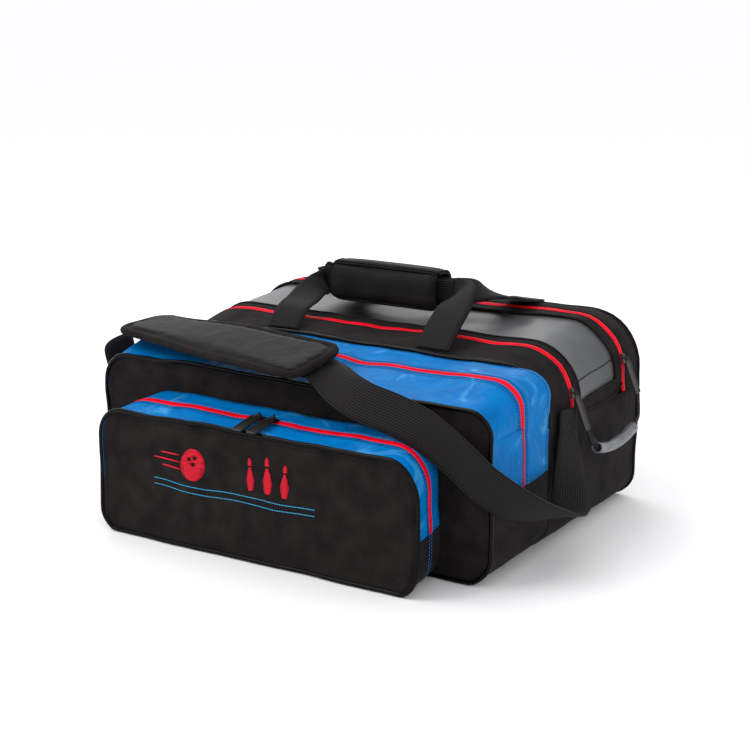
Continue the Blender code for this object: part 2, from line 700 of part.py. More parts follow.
for side, x in (("left", 0.002), ("right", 0.0185)):
    made = pocket_slider(
        "shoe_" + side, x, SHOE_ZIP_Y, top_at(SHOE_TOP, SHOE_ZIP_Y), 0.08, 0.25, 0.040, side == "left"
    )
    ride(made, shoe_flap)

# ---- accessory pocket ---------------------------------------------------------------------------------------------------
ACC_IN_FRONT = FRONT + CLOTH + 2.5 * GAP
ACC_IN_REAR = SHOE_FRONT - 2 * PIPING_RADIUS - 3 * PIPING_BACK
ACC_ZIP_FRONT = ACCESSORY_ZIP_Y - GAP / 2 - TAPE_WIDTH
ACC_ZIP_REAR = ACCESSORY_ZIP_Y + GAP / 2 + TAPE_WIDTH
ACC_LOW_HIGH = ACCESSORY_HINGE_Z - GAP
panel("accessory_pocket_front_panel", accessory_under(FRONT, ACC_LOW_HIGH), FRONT, BLACK)
band(
    "accessory_pocket_lower_band",
    lambda y: accessory_under(y, ACC_LOW_HIGH),
    (ACC_IN_FRONT, ACC_IN_REAR),
    CLOTH,
    BLACK,
)
band(
    "accessory_pocket_rear_gusset",
    lambda y: accessory_over(y, ACCESSORY_HINGE_Z),
    (ACC_ZIP_REAR + GAP, ACC_IN_REAR),
    CLOTH,
    BLUE,
    0.35,
)
band(
    "accessory_zip_bag_tape",
    lambda y: accessory_over(y, ACCESSORY_HINGE_Z),
    (ACCESSORY_ZIP_Y + GAP / 2, ACC_ZIP_REAR),
    TAPE,
    RED,
    0.5,
)
edge_piping(
    "accessory_pocket_piping",
    accessory_under(FRONT, ACCESSORY_HINGE_Z - 0.002),
    FRONT - PIPING_RADIUS - PIPING_BACK,
    cyclic=False,
)
flap_line = over(
    ACCESSORY_LEFT, ACCESSORY_RIGHT, top_at(ACCESSORY_TOP, FRONT), ACCESSORY_RADIUS, ACCESSORY_HINGE_Z
)
accessory_flap_pieces = [
    panel("accessory_flap_panel", flap_line, FRONT, BLACK),
    band(
        "accessory_flap_gusset",
        lambda y: accessory_over(y, ACCESSORY_HINGE_Z),
        (ACC_IN_FRONT, ACC_ZIP_FRONT - GAP),
        CLOTH,
        BLUE,
        0.35,
    ),
    band(
        "accessory_zip_flap_tape",
        lambda y: accessory_over(y, ACCESSORY_HINGE_Z),
        (ACC_ZIP_FRONT, ACCESSORY_ZIP_Y - GAP / 2),
        TAPE,
        RED,
        0.5,
    ),
    edge_piping(
        "accessory_flap_piping", flap_line, FRONT - PIPING_RADIUS - PIPING_BACK, cyclic=False
    ),
]
accessory_flap = body("accessory_flap", (0.0, FRONT, ACCESSORY_HINGE_Z), *accessory_flap_pieces)
for side, x in (("left", -0.012), ("right", 0.008)):
    made = pocket_slider(
        "accessory_" + side,
        x,
        ACCESSORY_ZIP_Y,
        top_at(ACCESSORY_TOP, ACCESSORY_ZIP_Y),
        0.12,
        0.17,
        0.046,
        side == "left",
    )
    ride(made, accessory_flap)

# ---- carry handles and grip ---------------------------------------------------------------------------------------------
FULL, SOFT, GRIPPED = 0.046, 0.040, 0.030
front_loop = [
    ((-0.105, -0.0135, 0.2225), (1, 0, 0), FULL),
    ((-0.106, 0.010, 0.243), (1, 0, 0), FULL),
    ((-0.111, 0.040, 0.262), (1, -0.05, -0.05), FULL),
    ((-0.118, 0.070, 0.271), (0.9, -0.1, -0.35), SOFT),
    ((-0.116, 0.090, 0.270), (0.5, -0.4, -0.75), 0.034),
    ((GRIP_LEFT, 0.096, GRIP_CENTRE_Z), (0, 0, -1), GRIPPED),
    ((GRIP_RIGHT, 0.096, GRIP_CENTRE_Z), (0, 0, -1), GRIPPED),
    ((0.082, 0.092, 0.270), (-0.5, 0.3, -0.75), 0.034),
    ((0.101, 0.072, 0.274), (-0.85, 0.1, -0.4), SOFT),
    ((0.110, 0.040, 0.263), (-1, 0, -0.05), FULL),
    ((0.111, 0.010, 0.243), (-1, 0, 0), FULL),
    ((0.111, -0.0135, 0.2225), (-1, 0, 0), FULL),
]
rear_loop = [
    ((-0.105, 0.2140, 0.2450), (-1, 0, 0), FULL),
    ((-0.106, 0.190, 0.2560), (-1, 0, 0), FULL),
    ((-0.111, 0.160, 0.266), (-1, -0.05, -0.05), FULL),
    ((-0.117, 0.132, 0.271), (-0.9, -0.1, -0.35), SOFT),
    ((-0.114, 0.113, 0.270), (-0.5, -0.4, -0.75), 0.034),
    ((GRIP_LEFT, 0.108, GRIP_CENTRE_Z), (0, 0, -1), GRIPPED),
    ((GRIP_RIGHT, 0.108, GRIP_CENTRE_Z), (0, 0, -1), GRIPPED),
    ((0.080, 0.112, 0.268), (0.5, -0.3, -0.75), 0.034),
    ((0.104, 0.132, 0.266), (0.9, -0.2, -0.35), SOFT),
    ((0.118, 0.160, 0.262), (1, 0, -0.05), FULL),
    ((0.122, 0.190, 0.2550), (1, 0, 0), FULL),
    ((0.122, 0.2140, 0.2450), (1, 0, 0), FULL),
]
front_webbing = ribbon("front_handle_webbing", front_loop, WEBBING, BLACK)
rear_webbing = ribbon("rear_handle_webbing", rear_loop, WEBBING, BLACK)

GRIP_HALF_DEPTH, GRIP_HALF_HEIGHT, GRIP_WALL = 0.0235, 0.0255, 0.0045
ROUNDNESS = 0.65  # under 1 makes the grip's section a rounded rectangle
WRAP_ANGLE = 115  # the wrap goes this far each way from the rear
FLAP_START, FLAP_END = 122, 238  # the flap covers the front


def grip_section(start, end, steps):
    """Points round the grip's section in (y, z); 0 degrees is the rear, 90 the top."""
    made = []
    for i in range(steps + 1):
        a = math.radians(start + (end - start) * i / steps)
        c, s = math.cos(a), math.sin(a)
        y = GRIP_CENTRE_Y + GRIP_HALF_DEPTH * math.copysign(abs(c) ** ROUNDNESS, c)
        z = GRIP_CENTRE_Z + GRIP_HALF_HEIGHT * math.copysign(abs(s) ** ROUNDNESS, s)
        made.append((y, z))
    return made


def grip_shell(name, start, end, steps):
    """One padded piece of the grip, from one angle round its section to another."""
    line = grip_section(start, end, steps)
    rows = [[(x, y, z) for y, z in line] for x in (GRIP_LEFT + 0.002, GRIP_RIGHT - 0.002)]
    return sheet(name, rows, GRIP_WALL, BLACK)


wrap = grip_shell("grip_wrap", -WRAP_ANGLE, WRAP_ANGLE, 14)
flap = grip_shell("grip_flap", FLAP_START, FLAP_END, 8)
front_handle = body("front_handle", FRONT_HANDLE_HINGE, front_webbing)
rear_handle = body("rear_handle", REAR_HANDLE_HINGE, rear_webbing, wrap)
FLAP_HINGE = Vector((0.0, *grip_section(FLAP_END, FLAP_END, 1)[0]))
grip_flap = body("grip_flap_body", FLAP_HINGE, flap)
ride(grip_flap, rear_handle)

# ---- shoulder strap --------------------------------------------------------------------------------------------------------
PAD_LENGTH, PAD_WIDTH, PAD_THICK, PAD_CORNER = 0.315, 0.080, 0.011, 0.022
PAD_CENTRE = Vector((-0.104, -0.133, 0.2285))
PAD_YAW, PAD_ROLL = math.radians(-10.5), math.radians(15.0)


def shoulder_pad():
    """The strap's pad: a long rounded rectangle lying across the shoe pocket's top."""
    curve = bpy.data.curves.new("shoulder_pad", "CURVE")
    curve.dimensions = "2D"
    curve.fill_mode = "BOTH"
    curve.extrude = PAD_THICK / 2
    line = []
    for x, y, start in ((1, 1, 0), (-1, 1, 90), (-1, -1, 180), (1, -1, 270)):
        middle = (x * (PAD_LENGTH / 2 - PAD_CORNER), y * (PAD_WIDTH / 2 - PAD_CORNER))
        line += arc(*middle, PAD_CORNER, start, start + 90)
    spline = curve.splines.new("POLY")
    spline.points.add(len(line) - 1)
    for point, (x, y) in zip(spline.points, line):
        point.co = (x, y, 0.0, 1.0)
    spline.use_cyclic_u = True
    obj = bpy.data.objects.new("shoulder_pad", curve)
    turn = Matrix.Rotation(PAD_YAW, 3, "Z") @ Matrix.Rotation(PAD_ROLL, 3, "X")
    obj.matrix_world = Matrix.Translation(PAD_CENTRE) @ turn.to_4x4()
    return keep(obj, (0.02, 0.02, 0.02))


pad_turn = Matrix.Rotation(PAD_YAW, 3, "Z") @ Matrix.Rotation(PAD_ROLL, 3, "X")


def under_pad(x):
    """A station of the webbing just under the pad, at a place along the pad."""
    drop = PAD_THICK / 2 + WEBBING / 2 + 5 * GAP
    return (PAD_CENTRE + pad_turn @ Vector((x, 0.0, -drop)), pad_turn @ Vector((0, 1, 0)), FULL)


strap_line = [
    ((-STRAP_ANCHOR.x, LEFT_ANCHOR_Y, STRAP_ANCHOR.z), (0, 1, 0), FULL),
    ((-0.2765, 0.0115, 0.136), (0, 1, 0), FULL),
    ((-0.288, -0.001, 0.108), (0.1, 1, 0), FULL),
    ((-0.306, -0.026, 0.102), (0.2, 1, 0.1), FULL),
    ((-0.316, -0.058, 0.132), (0.2, 1, 0.2), FULL),
    ((-0.311, -0.084, 0.178), (0.2, 1, 0.25), FULL),
    ((-0.298, -0.098, 0.203), (0.18, 0.95, 0.26), FULL),
    under_pad(-0.160),
    under_pad(-0.135),
    under_pad(-0.05),
    under_pad(0.05),
    under_pad(0.135),
    under_pad(0.160),
    ((0.094, -0.1800, 0.2080), (0.3, 0.6, 0.7), FULL),
    ((0.126, -0.1870, 0.199), (0.42, 0.35, 0.85), FULL),
    ((0.165, -0.1860, 0.190), (0.45, 0.3, 0.85), FULL),
    ((0.202, -0.1830, 0.176), (0.49, 0.2, 0.85), FULL),
    ((0.238, -0.1790, 0.152), (0.5, 0.1, 0.86), FULL),
    ((0.270, -0.1740, 0.126), (0.6, 0.1, 0.8), FULL),
    ((0.299, -0.148, 0.096), (0.75, 0.2, 0.6), FULL),
    ((0.312, -0.098, 0.070), (0.9, 0.1, 0.4), FULL),
    ((0.314, -0.054, 0.056), (0.95, 0.2, 0.1), FULL),
    ((0.303, -0.019, 0.066), (0.75, 0.6, -0.1), FULL),
    ((0.287, 0.004, 0.098), (0.3, 0.95, -0.1), FULL),
    ((0.2768, 0.016, 0.134), (0, 1, 0), FULL),
    (tuple(STRAP_ANCHOR), (0, 1, 0), FULL),
]
pad = shoulder_pad()
strap = ribbon("shoulder_webbing", strap_line, WEBBING, BLACK)
body("shoulder_strap", STRAP_ANCHOR, pad, strap)
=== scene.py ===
# %% [markdown]
# # A two-ball bowling bag
# The bag is three sewn boxes one behind another: an accessory pocket, a shoe pocket and a ball
# compartment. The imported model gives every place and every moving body. This lesson puts cloth, zips,
# piping, webbing and foam over it, and leaves the frame itself untouched.

import json
import math

import bmesh
import bpy
import numpy as np
from mathutils import Matrix, Vector, noise


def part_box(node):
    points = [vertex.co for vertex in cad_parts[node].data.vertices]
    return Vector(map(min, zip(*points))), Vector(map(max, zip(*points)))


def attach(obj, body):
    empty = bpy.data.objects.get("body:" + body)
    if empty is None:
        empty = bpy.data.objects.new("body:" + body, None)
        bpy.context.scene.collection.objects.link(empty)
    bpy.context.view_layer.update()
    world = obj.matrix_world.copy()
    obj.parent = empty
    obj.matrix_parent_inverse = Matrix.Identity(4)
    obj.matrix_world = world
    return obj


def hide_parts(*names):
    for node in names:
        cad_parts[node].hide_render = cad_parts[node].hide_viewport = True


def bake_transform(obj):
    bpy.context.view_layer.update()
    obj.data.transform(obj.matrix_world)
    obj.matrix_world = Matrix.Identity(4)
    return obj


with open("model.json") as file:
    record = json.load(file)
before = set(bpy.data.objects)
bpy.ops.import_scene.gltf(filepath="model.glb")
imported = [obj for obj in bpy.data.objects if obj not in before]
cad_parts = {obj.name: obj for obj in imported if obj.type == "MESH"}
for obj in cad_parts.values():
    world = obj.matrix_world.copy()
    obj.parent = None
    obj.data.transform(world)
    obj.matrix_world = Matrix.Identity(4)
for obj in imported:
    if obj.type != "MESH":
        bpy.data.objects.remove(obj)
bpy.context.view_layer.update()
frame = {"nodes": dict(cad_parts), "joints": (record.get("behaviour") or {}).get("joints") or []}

# %% [markdown]
# ## Camera, floor and light
# The camera looks down a little on the right front corner with a long lens, as for a shop picture. The
# light is a pale room with one large soft box above on the left, one in front, and one behind that puts
# the shine on the clear window and the piping.

# %% Camera
camera_data = bpy.data.cameras.new("camera")
camera_data.lens = 80.48
camera_data.sensor_width = 36.0
camera = bpy.data.objects.new("camera", camera_data)
camera.location = (1.0817, -1.6842, 0.6859)
camera.rotation_euler = (math.radians(75.61), 0.0, math.radians(32.17))
bpy.context.scene.collection.objects.link(camera)
bpy.context.scene.camera = camera
# the plain transform keeps the cloth's blue and red as strong as they are
bpy.context.scene.view_settings.view_transform = "Standard"
print("lens", camera_data.lens, "mm")


# %% Colours and shader nodes
def linear(code):
    """A hex colour as a screen shows it, turned into the linear numbers that shaders use."""
    parts = [int(code[i : i + 2], 16) / 255 for i in (1, 3, 5)]
    return (*[c / 12.92 if c <= 0.04045 else ((c + 0.055) / 1.055) ** 2.4 for c in parts], 1.0)


def add(tree, kind, inputs=None, **settings):
    """Add a node: settings are its own choices, inputs are values or the sockets to link from."""
    made = tree.nodes.new(kind)
    for setting, value in settings.items():
        setattr(made, setting, value)
    for socket, value in (inputs or {}).items():
        if isinstance(value, bpy.types.NodeSocket):
            tree.links.new(value, made.inputs[socket])
        else:
            made.inputs[socket].default_value = value
    return made


def finish(name, values):
    """A new material with its plain values set on the shader's own sockets."""
    made = bpy.data.materials.new(name)
    made.use_nodes = True
    shader = made.node_tree.nodes["Principled BSDF"]
    for socket, value in values.items():
        shader.inputs[socket].default_value = value
    return made, made.node_tree, shader


print("black cloth is", [round(v, 4) for v in linear("#1b1b1c")[:3]], "in linear light")

# %% Floor and lights
bpy.ops.mesh.primitive_plane_add(size=80.0, location=(0.0, 0.0, -0.0006))
floor = bpy.context.object
floor.name = "floor"
floor_paint = finish("pale_studio_floor", {"Base Color": linear("#f6f6f6"), "Roughness": 0.9})[0]
floor.data.materials.append(floor_paint)

world = bpy.data.worlds.new("studio")
world.use_nodes = True
world.node_tree.nodes["Background"].inputs["Color"].default_value = linear("#fdfdff")
world.node_tree.nodes["Background"].inputs["Strength"].default_value = 1.08
bpy.context.scene.world = world


def soft_box(name, place, aim, size, power):
    """A square area light that faces a point."""
    data = bpy.data.lights.new(name, "AREA")
    data.size = size
    data.energy = power
    light = bpy.data.objects.new(name, data)
    light.location = place
    light.rotation_euler = (Vector(aim) - Vector(place)).to_track_quat("-Z", "Y").to_euler()
    bpy.context.scene.collection.objects.link(light)


soft_box("key", (-1.0, -1.3, 2.0), (0.0, -0.05, 0.15), 1.2, 22.0)
soft_box("front", (1.9, -1.6, 1.3), (0.1, 0.0, 0.12), 1.4, 7.0)
soft_box("back", (-1.3, 1.5, 1.5), (0.0, 0.1, 0.2), 1.8, 16.0)

# %% [markdown]
# ## Cloth finishes
# Polyester, coated cloth and zip tape are all plain weaves, and differ in thread, colour and shine. Each
# piece of cloth carries a UV map in metres, so one pair of waves draws warp and weft at the right size
# wherever the piece lies. The real threads are near half a millimetre apart, too fine to show at this
# distance, so they are drawn two or three times as coarse.


# %% Woven finishes
# a wave texture of scale 1 repeats every 2 pi / 20, so this over a spacing in metres gives its scale
WAVES_PER_METRE = 0.314159


def woven(name, dark, light, period, values, crease=0.0, bump=0.35, painted_glint=None):
    """A plain weave of a thread spacing in metres; the last argument is the colour of painted highlights,
    pale streaks of glint over its creases.
    """
    made, tree, shader = finish(name, values)
    place = add(tree, "ShaderNodeTexCoord")
    scale = WAVES_PER_METRE / period
    flat, solid = place.outputs["UV"], place.outputs["Object"]
    waves = {"Vector": flat, "Scale": scale, "Distortion": 0.6, "Detail Scale": 2.0}
    warp = add(tree, "ShaderNodeTexWave", waves, bands_direction="X")
    weft = add(tree, "ShaderNodeTexWave", waves, bands_direction="Y")
    threads = add(
        tree, "ShaderNodeMath", {0: warp.outputs["Fac"], 1: weft.outputs["Fac"]}, operation="MULTIPLY"
    )
    cloudy = add(tree, "ShaderNodeTexNoise", {"Vector": solid, "Scale": 38.0, "Detail": 5.0})
    both = add(
        tree,
        "ShaderNodeMath",
        {0: threads.outputs[0], 1: 0.45, 2: cloudy.outputs["Fac"]},
        operation="MULTIPLY_ADD",
    )
    ramp = add(tree, "ShaderNodeValToRGB", {"Fac": both.outputs[0]})
    ramp.color_ramp.elements[0].position = 0.25
    ramp.color_ramp.elements[0].color = linear(dark)
    ramp.color_ramp.elements[1].position = 0.95
    ramp.color_ramp.elements[1].color = linear(light)
    colour = ramp.outputs["Color"]
    # painted highlight: pale streaks in the colour stand in for glints of light on the creased glossy skin
    if painted_glint:
        glint_noise = add(
            tree,
            "ShaderNodeTexNoise",
            {"Vector": solid, "Scale": 17.0, "Detail": 7.0, "Roughness": 0.62, "Distortion": 1.1},
        )
        glint_mask = add(
            tree,
            "ShaderNodeMapRange",
            {"Value": glint_noise.outputs["Fac"], "From Min": 0.55, "From Max": 0.74, "To Max": 0.8},
        )
        mixed = add(tree, "ShaderNodeMix", data_type="RGBA")
        factor, first, second = [s for s in mixed.inputs if s.enabled]
        tree.links.new(glint_mask.outputs["Result"], factor)
        tree.links.new(colour, first)
        second.default_value = linear(painted_glint)
        colour = next(s for s in mixed.outputs if s.enabled)
    tree.links.new(colour, shader.inputs["Base Color"])
    folds = add(tree, "ShaderNodeTexNoise", {"Vector": solid, "Scale": 26.0, "Detail": 3.0})
    rumple = add(
        tree,
        "ShaderNodeBump",
        {"Strength": crease, "Distance": 0.006, "Height": folds.outputs["Fac"]},
    )
    grain = add(
        tree,
        "ShaderNodeBump",
        {"Strength": bump, "Distance": 0.0004, "Height": threads.outputs[0], "Normal": rumple.outputs[0]},
    )
    tree.links.new(grain.outputs["Normal"], shader.inputs["Normal"])
    return made


print("one wave per thread, at", WAVES_PER_METRE, "over the spacing")

# %% The four cloths
# 600-denier polyester: matt, a warm near black with a visible grain of threads
polyester = woven(
    "woven_polyester",
    "#070606",
    "#252120",
    0.0021,
    {"Roughness": 0.85, "Sheen Weight": 0.01, "Sheen Roughness": 0.5, "Specular IOR Level": 0.08},
    crease=0.45,
    bump=0.5,
)
# PVC-coated polyester: the same weave under a glossy blue skin that creases softly, with pale painted
# highlights streaked over it for glints
coated_blue = woven(
    "pvc_coated_polyester",
    "#005b9c",
    "#0077bf",
    0.0017,
    {"Roughness": 0.38, "Specular IOR Level": 0.04, "IOR": 1.4},
    crease=0.8,
    bump=0.15,
    painted_glint="#57ace4",
)
# nylon zip tape: bright red with a satin lustre
zip_tape = woven(
    "nylon_zip_tape",
    "#d0001c",
    "#ff0a2e",
    0.0011,
    {"Roughness": 0.5, "Sheen Weight": 0.01, "Specular IOR Level": 0.12},
)
# brushed knit over foam on the pad and grip: softer and a little greyer than the shell
pad_cloth = woven(
    "knitted_nylon_over_foam",
    "#0b0a0a",
    "#1f1d1c",
    0.0019,
    {"Roughness": 0.66, "Sheen Weight": 0.02, "Specular IOR Level": 0.12},
    crease=0.4,
)
print("weaves:", polyester.name, coated_blue.name, zip_tape.name, pad_cloth.name)

# %% [markdown]
# ## Webbing, plastics, metal and foam
# Webbing shows ribs along its length and finer rows across. The window and the hose are clear vinyl, the
# piping is extruded vinyl, and the sliders are cast zinc under black paint.

# %% Webbing
webbing, tree, shader = finish(
    "polypropylene_webbing", {"Roughness": 0.72, "Sheen Weight": 0.01, "Specular IOR Level": 0.1}
)
place = add(tree, "ShaderNodeTexCoord")
RIB_SPACING, PICK_SPACING = 0.0030, 0.0019
ribs = add(
    tree,
    "ShaderNodeTexWave",
    {"Vector": place.outputs["UV"], "Scale": WAVES_PER_METRE / RIB_SPACING},
    bands_direction="X",
)
picks = add(
    tree,
    "ShaderNodeTexWave",
    {"Vector": place.outputs["UV"], "Scale": WAVES_PER_METRE / PICK_SPACING, "Distortion": 0.5},
    bands_direction="Y",
)
height = add(
    tree,
    "ShaderNodeMath",
    {0: picks.outputs["Fac"], 1: 0.5, 2: ribs.outputs["Fac"]},
    operation="MULTIPLY_ADD",
)
ramp = add(tree, "ShaderNodeValToRGB", {"Fac": height.outputs[0]})
ramp.color_ramp.elements[0].position = 0.2
ramp.color_ramp.elements[0].color = linear("#050505")
ramp.color_ramp.elements[1].position = 1.0
ramp.color_ramp.elements[1].color = linear("#252322")
tree.links.new(ramp.outputs["Color"], shader.inputs["Base Color"])
relief = add(
    tree, "ShaderNodeBump", {"Strength": 0.6, "Distance": 0.0006, "Height": height.outputs[0]}
)
tree.links.new(relief.outputs["Normal"], shader.inputs["Normal"])

# %% Smooth finishes
SMOOTH = {
    # name: (dark, light, scale of the mottling, bump in metres, values)
    "extruded_vinyl_piping": (
        "#020202",
        "#090808",
        220.0,
        0.0002,
        {"Roughness": 0.18, "Specular IOR Level": 0.1},
    ),
    "calendered_clear_vinyl": (
        "#4c4d4e",
        "#616262",
        9.0,
        0.0006,
        {"Roughness": 0.38, "Alpha": 0.94, "Specular IOR Level": 0.16},
    ),
    "clear_vinyl_hose": (
        "#5e6163",
        "#85898b",
        60.0,
        0.0002,
        {"Roughness": 0.16, "Alpha": 0.66, "Specular IOR Level": 0.4},
    ),
    "painted_zinc_casting": (
        "#100f0e",
        "#242120",
        400.0,
        0.0001,
        {"Roughness": 0.34, "Specular IOR Level": 0.3},
    ),
    "closed_cell_foam": ("#19191a", "#343435", 520.0, 0.0006, {"Roughness": 0.95}),
    "pressed_fibreboard": ("#1d1c1b", "#2c2a28", 150.0, 0.0003, {"Roughness": 0.75}),
    "black_polyester_thread": (
        "#0b0b0b",
        "#1c1b1b",
        900.0,
        0.0001,
        {"Roughness": 0.6, "Specular IOR Level": 0.1},
    ),
    "blue_polyester_thread": ("#0b4f96", "#1e74c4", 900.0, 0.0001, {"Roughness": 0.5}),
    "deep_blue_polyester_thread": (
        "#00335f",
        "#004a86",
        900.0,
        0.0001,
        {"Roughness": 0.6, "Specular IOR Level": 0.1},
    ),
    "pale_blue_rayon_thread": ("#0f7fa6", "#27a5cf", 900.0, 0.0001, {"Roughness": 0.4}),
    "red_rayon_thread": (
        "#a80a20",
        "#dc1632",
        900.0,
        0.0001,
        {"Roughness": 0.45, "Specular IOR Level": 0.15},
    ),
}
finishes = {}
for name, (dark, light, scale, depth, values) in SMOOTH.items():
    made, tree, shader = finish(name, values)
    place = add(tree, "ShaderNodeTexCoord")
    speckle = add(
        tree,
        "ShaderNodeTexNoise",
        {"Vector": place.outputs["Object"], "Scale": scale, "Detail": 4.0},
    )
    ramp = add(tree, "ShaderNodeValToRGB", {"Fac": speckle.outputs["Fac"]})
    ramp.color_ramp.elements[0].position = 0.3
    ramp.color_ramp.elements[0].color = linear(dark)
    ramp.color_ramp.elements[1].position = 0.7
    ramp.color_ramp.elements[1].color = linear(light)
    tree.links.new(ramp.outputs["Color"], shader.inputs["Base Color"])
    relief = add(
        tree,
        "ShaderNodeBump",
        {"Strength": 0.3, "Distance": depth, "Height": speckle.outputs["Fac"]},
    )
    tree.links.new(relief.outputs["Normal"], shader.inputs["Normal"])
    finishes[name] = made
print(len(finishes), "smooth finishes")

# %% [markdown]
# ## Painted shade on the window: the dark inside and the handles' shadow
# The film hangs clear of the foam between the handles, so the dark inside of the bag shows through it
# there, and the handles cast their shadow over it. A clearer film would show the real inside, but it would
# lose the milky look of the rest. So the milky colour turns dark towards the middle of the bag, by the
# distance along x: painted shade, for the inside and for the handles' shadow.

# %% The film's dark middle: painted shade
DARK_MIDDLE, DARK_HALF, MILKY_FROM = 0.015, 0.085, 0.135
film_tree = finishes["calendered_clear_vinyl"].node_tree
film_shader = film_tree.nodes["Principled BSDF"]
milky = film_shader.inputs["Base Color"].links[0].from_socket
place = add(film_tree, "ShaderNodeTexCoord")
axes = add(film_tree, "ShaderNodeSeparateXYZ", {0: place.outputs["Object"]})
aside = add(film_tree, "ShaderNodeMath", {0: axes.outputs["X"], 1: DARK_MIDDLE}, operation="SUBTRACT")
distance = add(film_tree, "ShaderNodeMath", {0: aside.outputs[0]}, operation="ABSOLUTE")
deep = add(
    film_tree,
    "ShaderNodeMapRange",
    {"Value": distance.outputs[0], "From Min": DARK_HALF, "From Max": MILKY_FROM},
    interpolation_type="SMOOTHSTEP",
)
mixed = add(film_tree, "ShaderNodeMix", data_type="RGBA")
factor, first, second = [s for s in mixed.inputs if s.enabled]
film_tree.links.new(deep.outputs["Result"], factor)
film_tree.links.new(milky, second)
# painted shade: the dark inside under the film and the handles' shadow on it
first.default_value = linear("#141415")
film_tree.links.new(next(s for s in mixed.outputs if s.enabled), film_shader.inputs["Base Color"])
print("the film's dark middle is", round(2000 * DARK_HALF), "mm wide")

# %% [markdown]
# ## How the sewn shell slumps
# Foam-backed cloth never stays flat. One soft field moves every point of the shell: faces puff outwards
# between their seams and shallow creases wander over them. Because neighbours read the same field, their
# seams stay closed. It fades to nothing at both ends of each metal slider's run, so that the sliders fit
# the cloth where they start and where they end.

# %% The soft field
HALF_LENGTH, FRONT, SHOE_FRONT, BALL_FRONT, REAR = 0.270, -0.228, -0.157, -0.019, 0.228
SLIDERS = ("lid_front", "lid_rear", "shoe_left", "shoe_right", "accessory_left", "accessory_right")
joints = {joint["name"]: joint for joint in frame["joints"]}
# the cloth keeps still within STILL of a slider, and is free again SETTLE further off
STILL, SETTLE = 0.012, 0.035
still_spots = []
for node in SLIDERS:
    low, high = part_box(node + "_slider")
    spot = (Vector(low) + Vector(high)) / 2
    if node.startswith("lid"):
        run = joints["lid_slider_travel"]
        turn = Matrix.Rotation(math.radians(run["range_deg"][1]), 3, Vector(run["axis"]))
        centre = Vector(run["pos_m"])
        centre.y = spot.y
        still_spots += [spot, centre + turn @ (spot - centre)]
    else:
        run = joints[node + "_slide"]
        still_spots += [spot, spot + run["range_m"][1] * Vector(run["axis"])]


def ease(value):
    """0 below 0, 1 above 1, and smooth between."""
    value = min(max(value, 0.0), 1.0)
    return value * value * (3 - 2 * value)


def hump(value, middle, half):
    """1 in the middle of a span and 0 at and beyond its ends."""
    return max(1 - ((value - middle) / half) ** 2, 0.0)


# without a seed of its own the noise would be drawn from the clock, and differ at every run
FIELD_SEED = 7
noise.seed_set(FIELD_SEED)


def slump(point):
    """Where a point of the shell lies once the cloth has puffed and creased."""
    x, y, z = point
    near = min((Vector(point) - spot).length for spot in still_spots)
    free = ease((near - STILL) / SETTLE)
    move = noise.noise_vector(Vector(point) * 13) * 0.0030
    move += noise.noise_vector(Vector(point) * 31 + Vector((5, 0, 0))) * 0.0011
    front = ease((-0.200 - y) / 0.024) * hump(x, -0.0015, 0.221) * hump(z, 0.078, 0.075)
    move.y -= 0.0065 * front
    move.y += 0.0060 * ease((y - 0.200) / 0.024) * hump(x, 0, 0.268) * hump(z, 0.115, 0.115)
    side = ease((abs(x) - 0.255) / 0.014) * hump(z, 0.080, 0.078)
    bulge = 0.0050 * hump(y, 0.104, 0.120) + 0.0040 * hump(y, -0.088, 0.066)
    move.x += math.copysign(bulge * side, x)
    top = ease((z - 0.190) / 0.020) * (0.6 + 0.4 * math.cos(9 * x))
    move.z -= 0.0035 * top * (hump(y, -0.088, 0.066) + 0.6 * hump(y, 0.104, 0.120))
    move.z *= ease(z / 0.030)
    return Vector(point) + free * move


print("the middle of the front pocket moves", slump((0.0, FRONT, 0.078)) - Vector((0, FRONT, 0.078)))

# %% [markdown]
# ## Makers
# Most pieces are strips or panels of cloth, so one helper turns rows of points into a sheet with a UV map
# in metres, and a Solidify modifier gives the thickness. Another sweeps a round section along a line for
# piping and bindings.


# %% Sheets of cloth
def mesh_from(name, points, faces, uvs=None):
    """A smooth mesh object, its points in metres; uvs has one pair for each point."""
    mesh = bpy.data.meshes.new(name)
    mesh.from_pydata([tuple(p) for p in points], [], faces)
    if uvs:
        layer = mesh.uv_layers.new(name="UVMap")
        for loop in mesh.loops:
            layer.data[loop.index].uv = uvs[loop.vertex_index]
    mesh.shade_smooth()
    obj = bpy.data.objects.new(name, mesh)
    bpy.context.scene.collection.objects.link(obj)
    return obj


def sheet(name, rows, thickness, skip=None, offset=-1.0):
    """A sheet through rows of points, with its thickness behind it and a UV map in metres."""
    points, uvs, faces = [], [], []
    width = len(rows[0])
    across = 0.0
    for j, row in enumerate(rows):
        if j:
            across += sum((a - b).length for a, b in zip(row, rows[j - 1])) / width
        along = 0.0
        for i, point in enumerate(row):
            if i:
                along += (point - row[i - 1]).length
            points.append(point)
            uvs.append((along, across))
    for j in range(len(rows) - 1):
        for i in range(width - 1):
            if skip and skip(i, j):
                continue
            a = j * width + i
            faces.append((a, a + 1, a + width + 1, a + width))
    obj = mesh_from(name, points, faces, uvs)
    if skip:
        bm = bmesh.new()
        bm.from_mesh(obj.data)
        bmesh.ops.delete(bm, geom=[v for v in bm.verts if not v.link_faces], context="VERTS")
        bm.to_mesh(obj.data)
        bm.free()
    solid = obj.modifiers.new("thickness", "SOLIDIFY")
    solid.thickness = thickness
    solid.offset = offset
    solid.use_even_offset = offset != 0.0
    return obj


print("sheets get a UV map in metres")


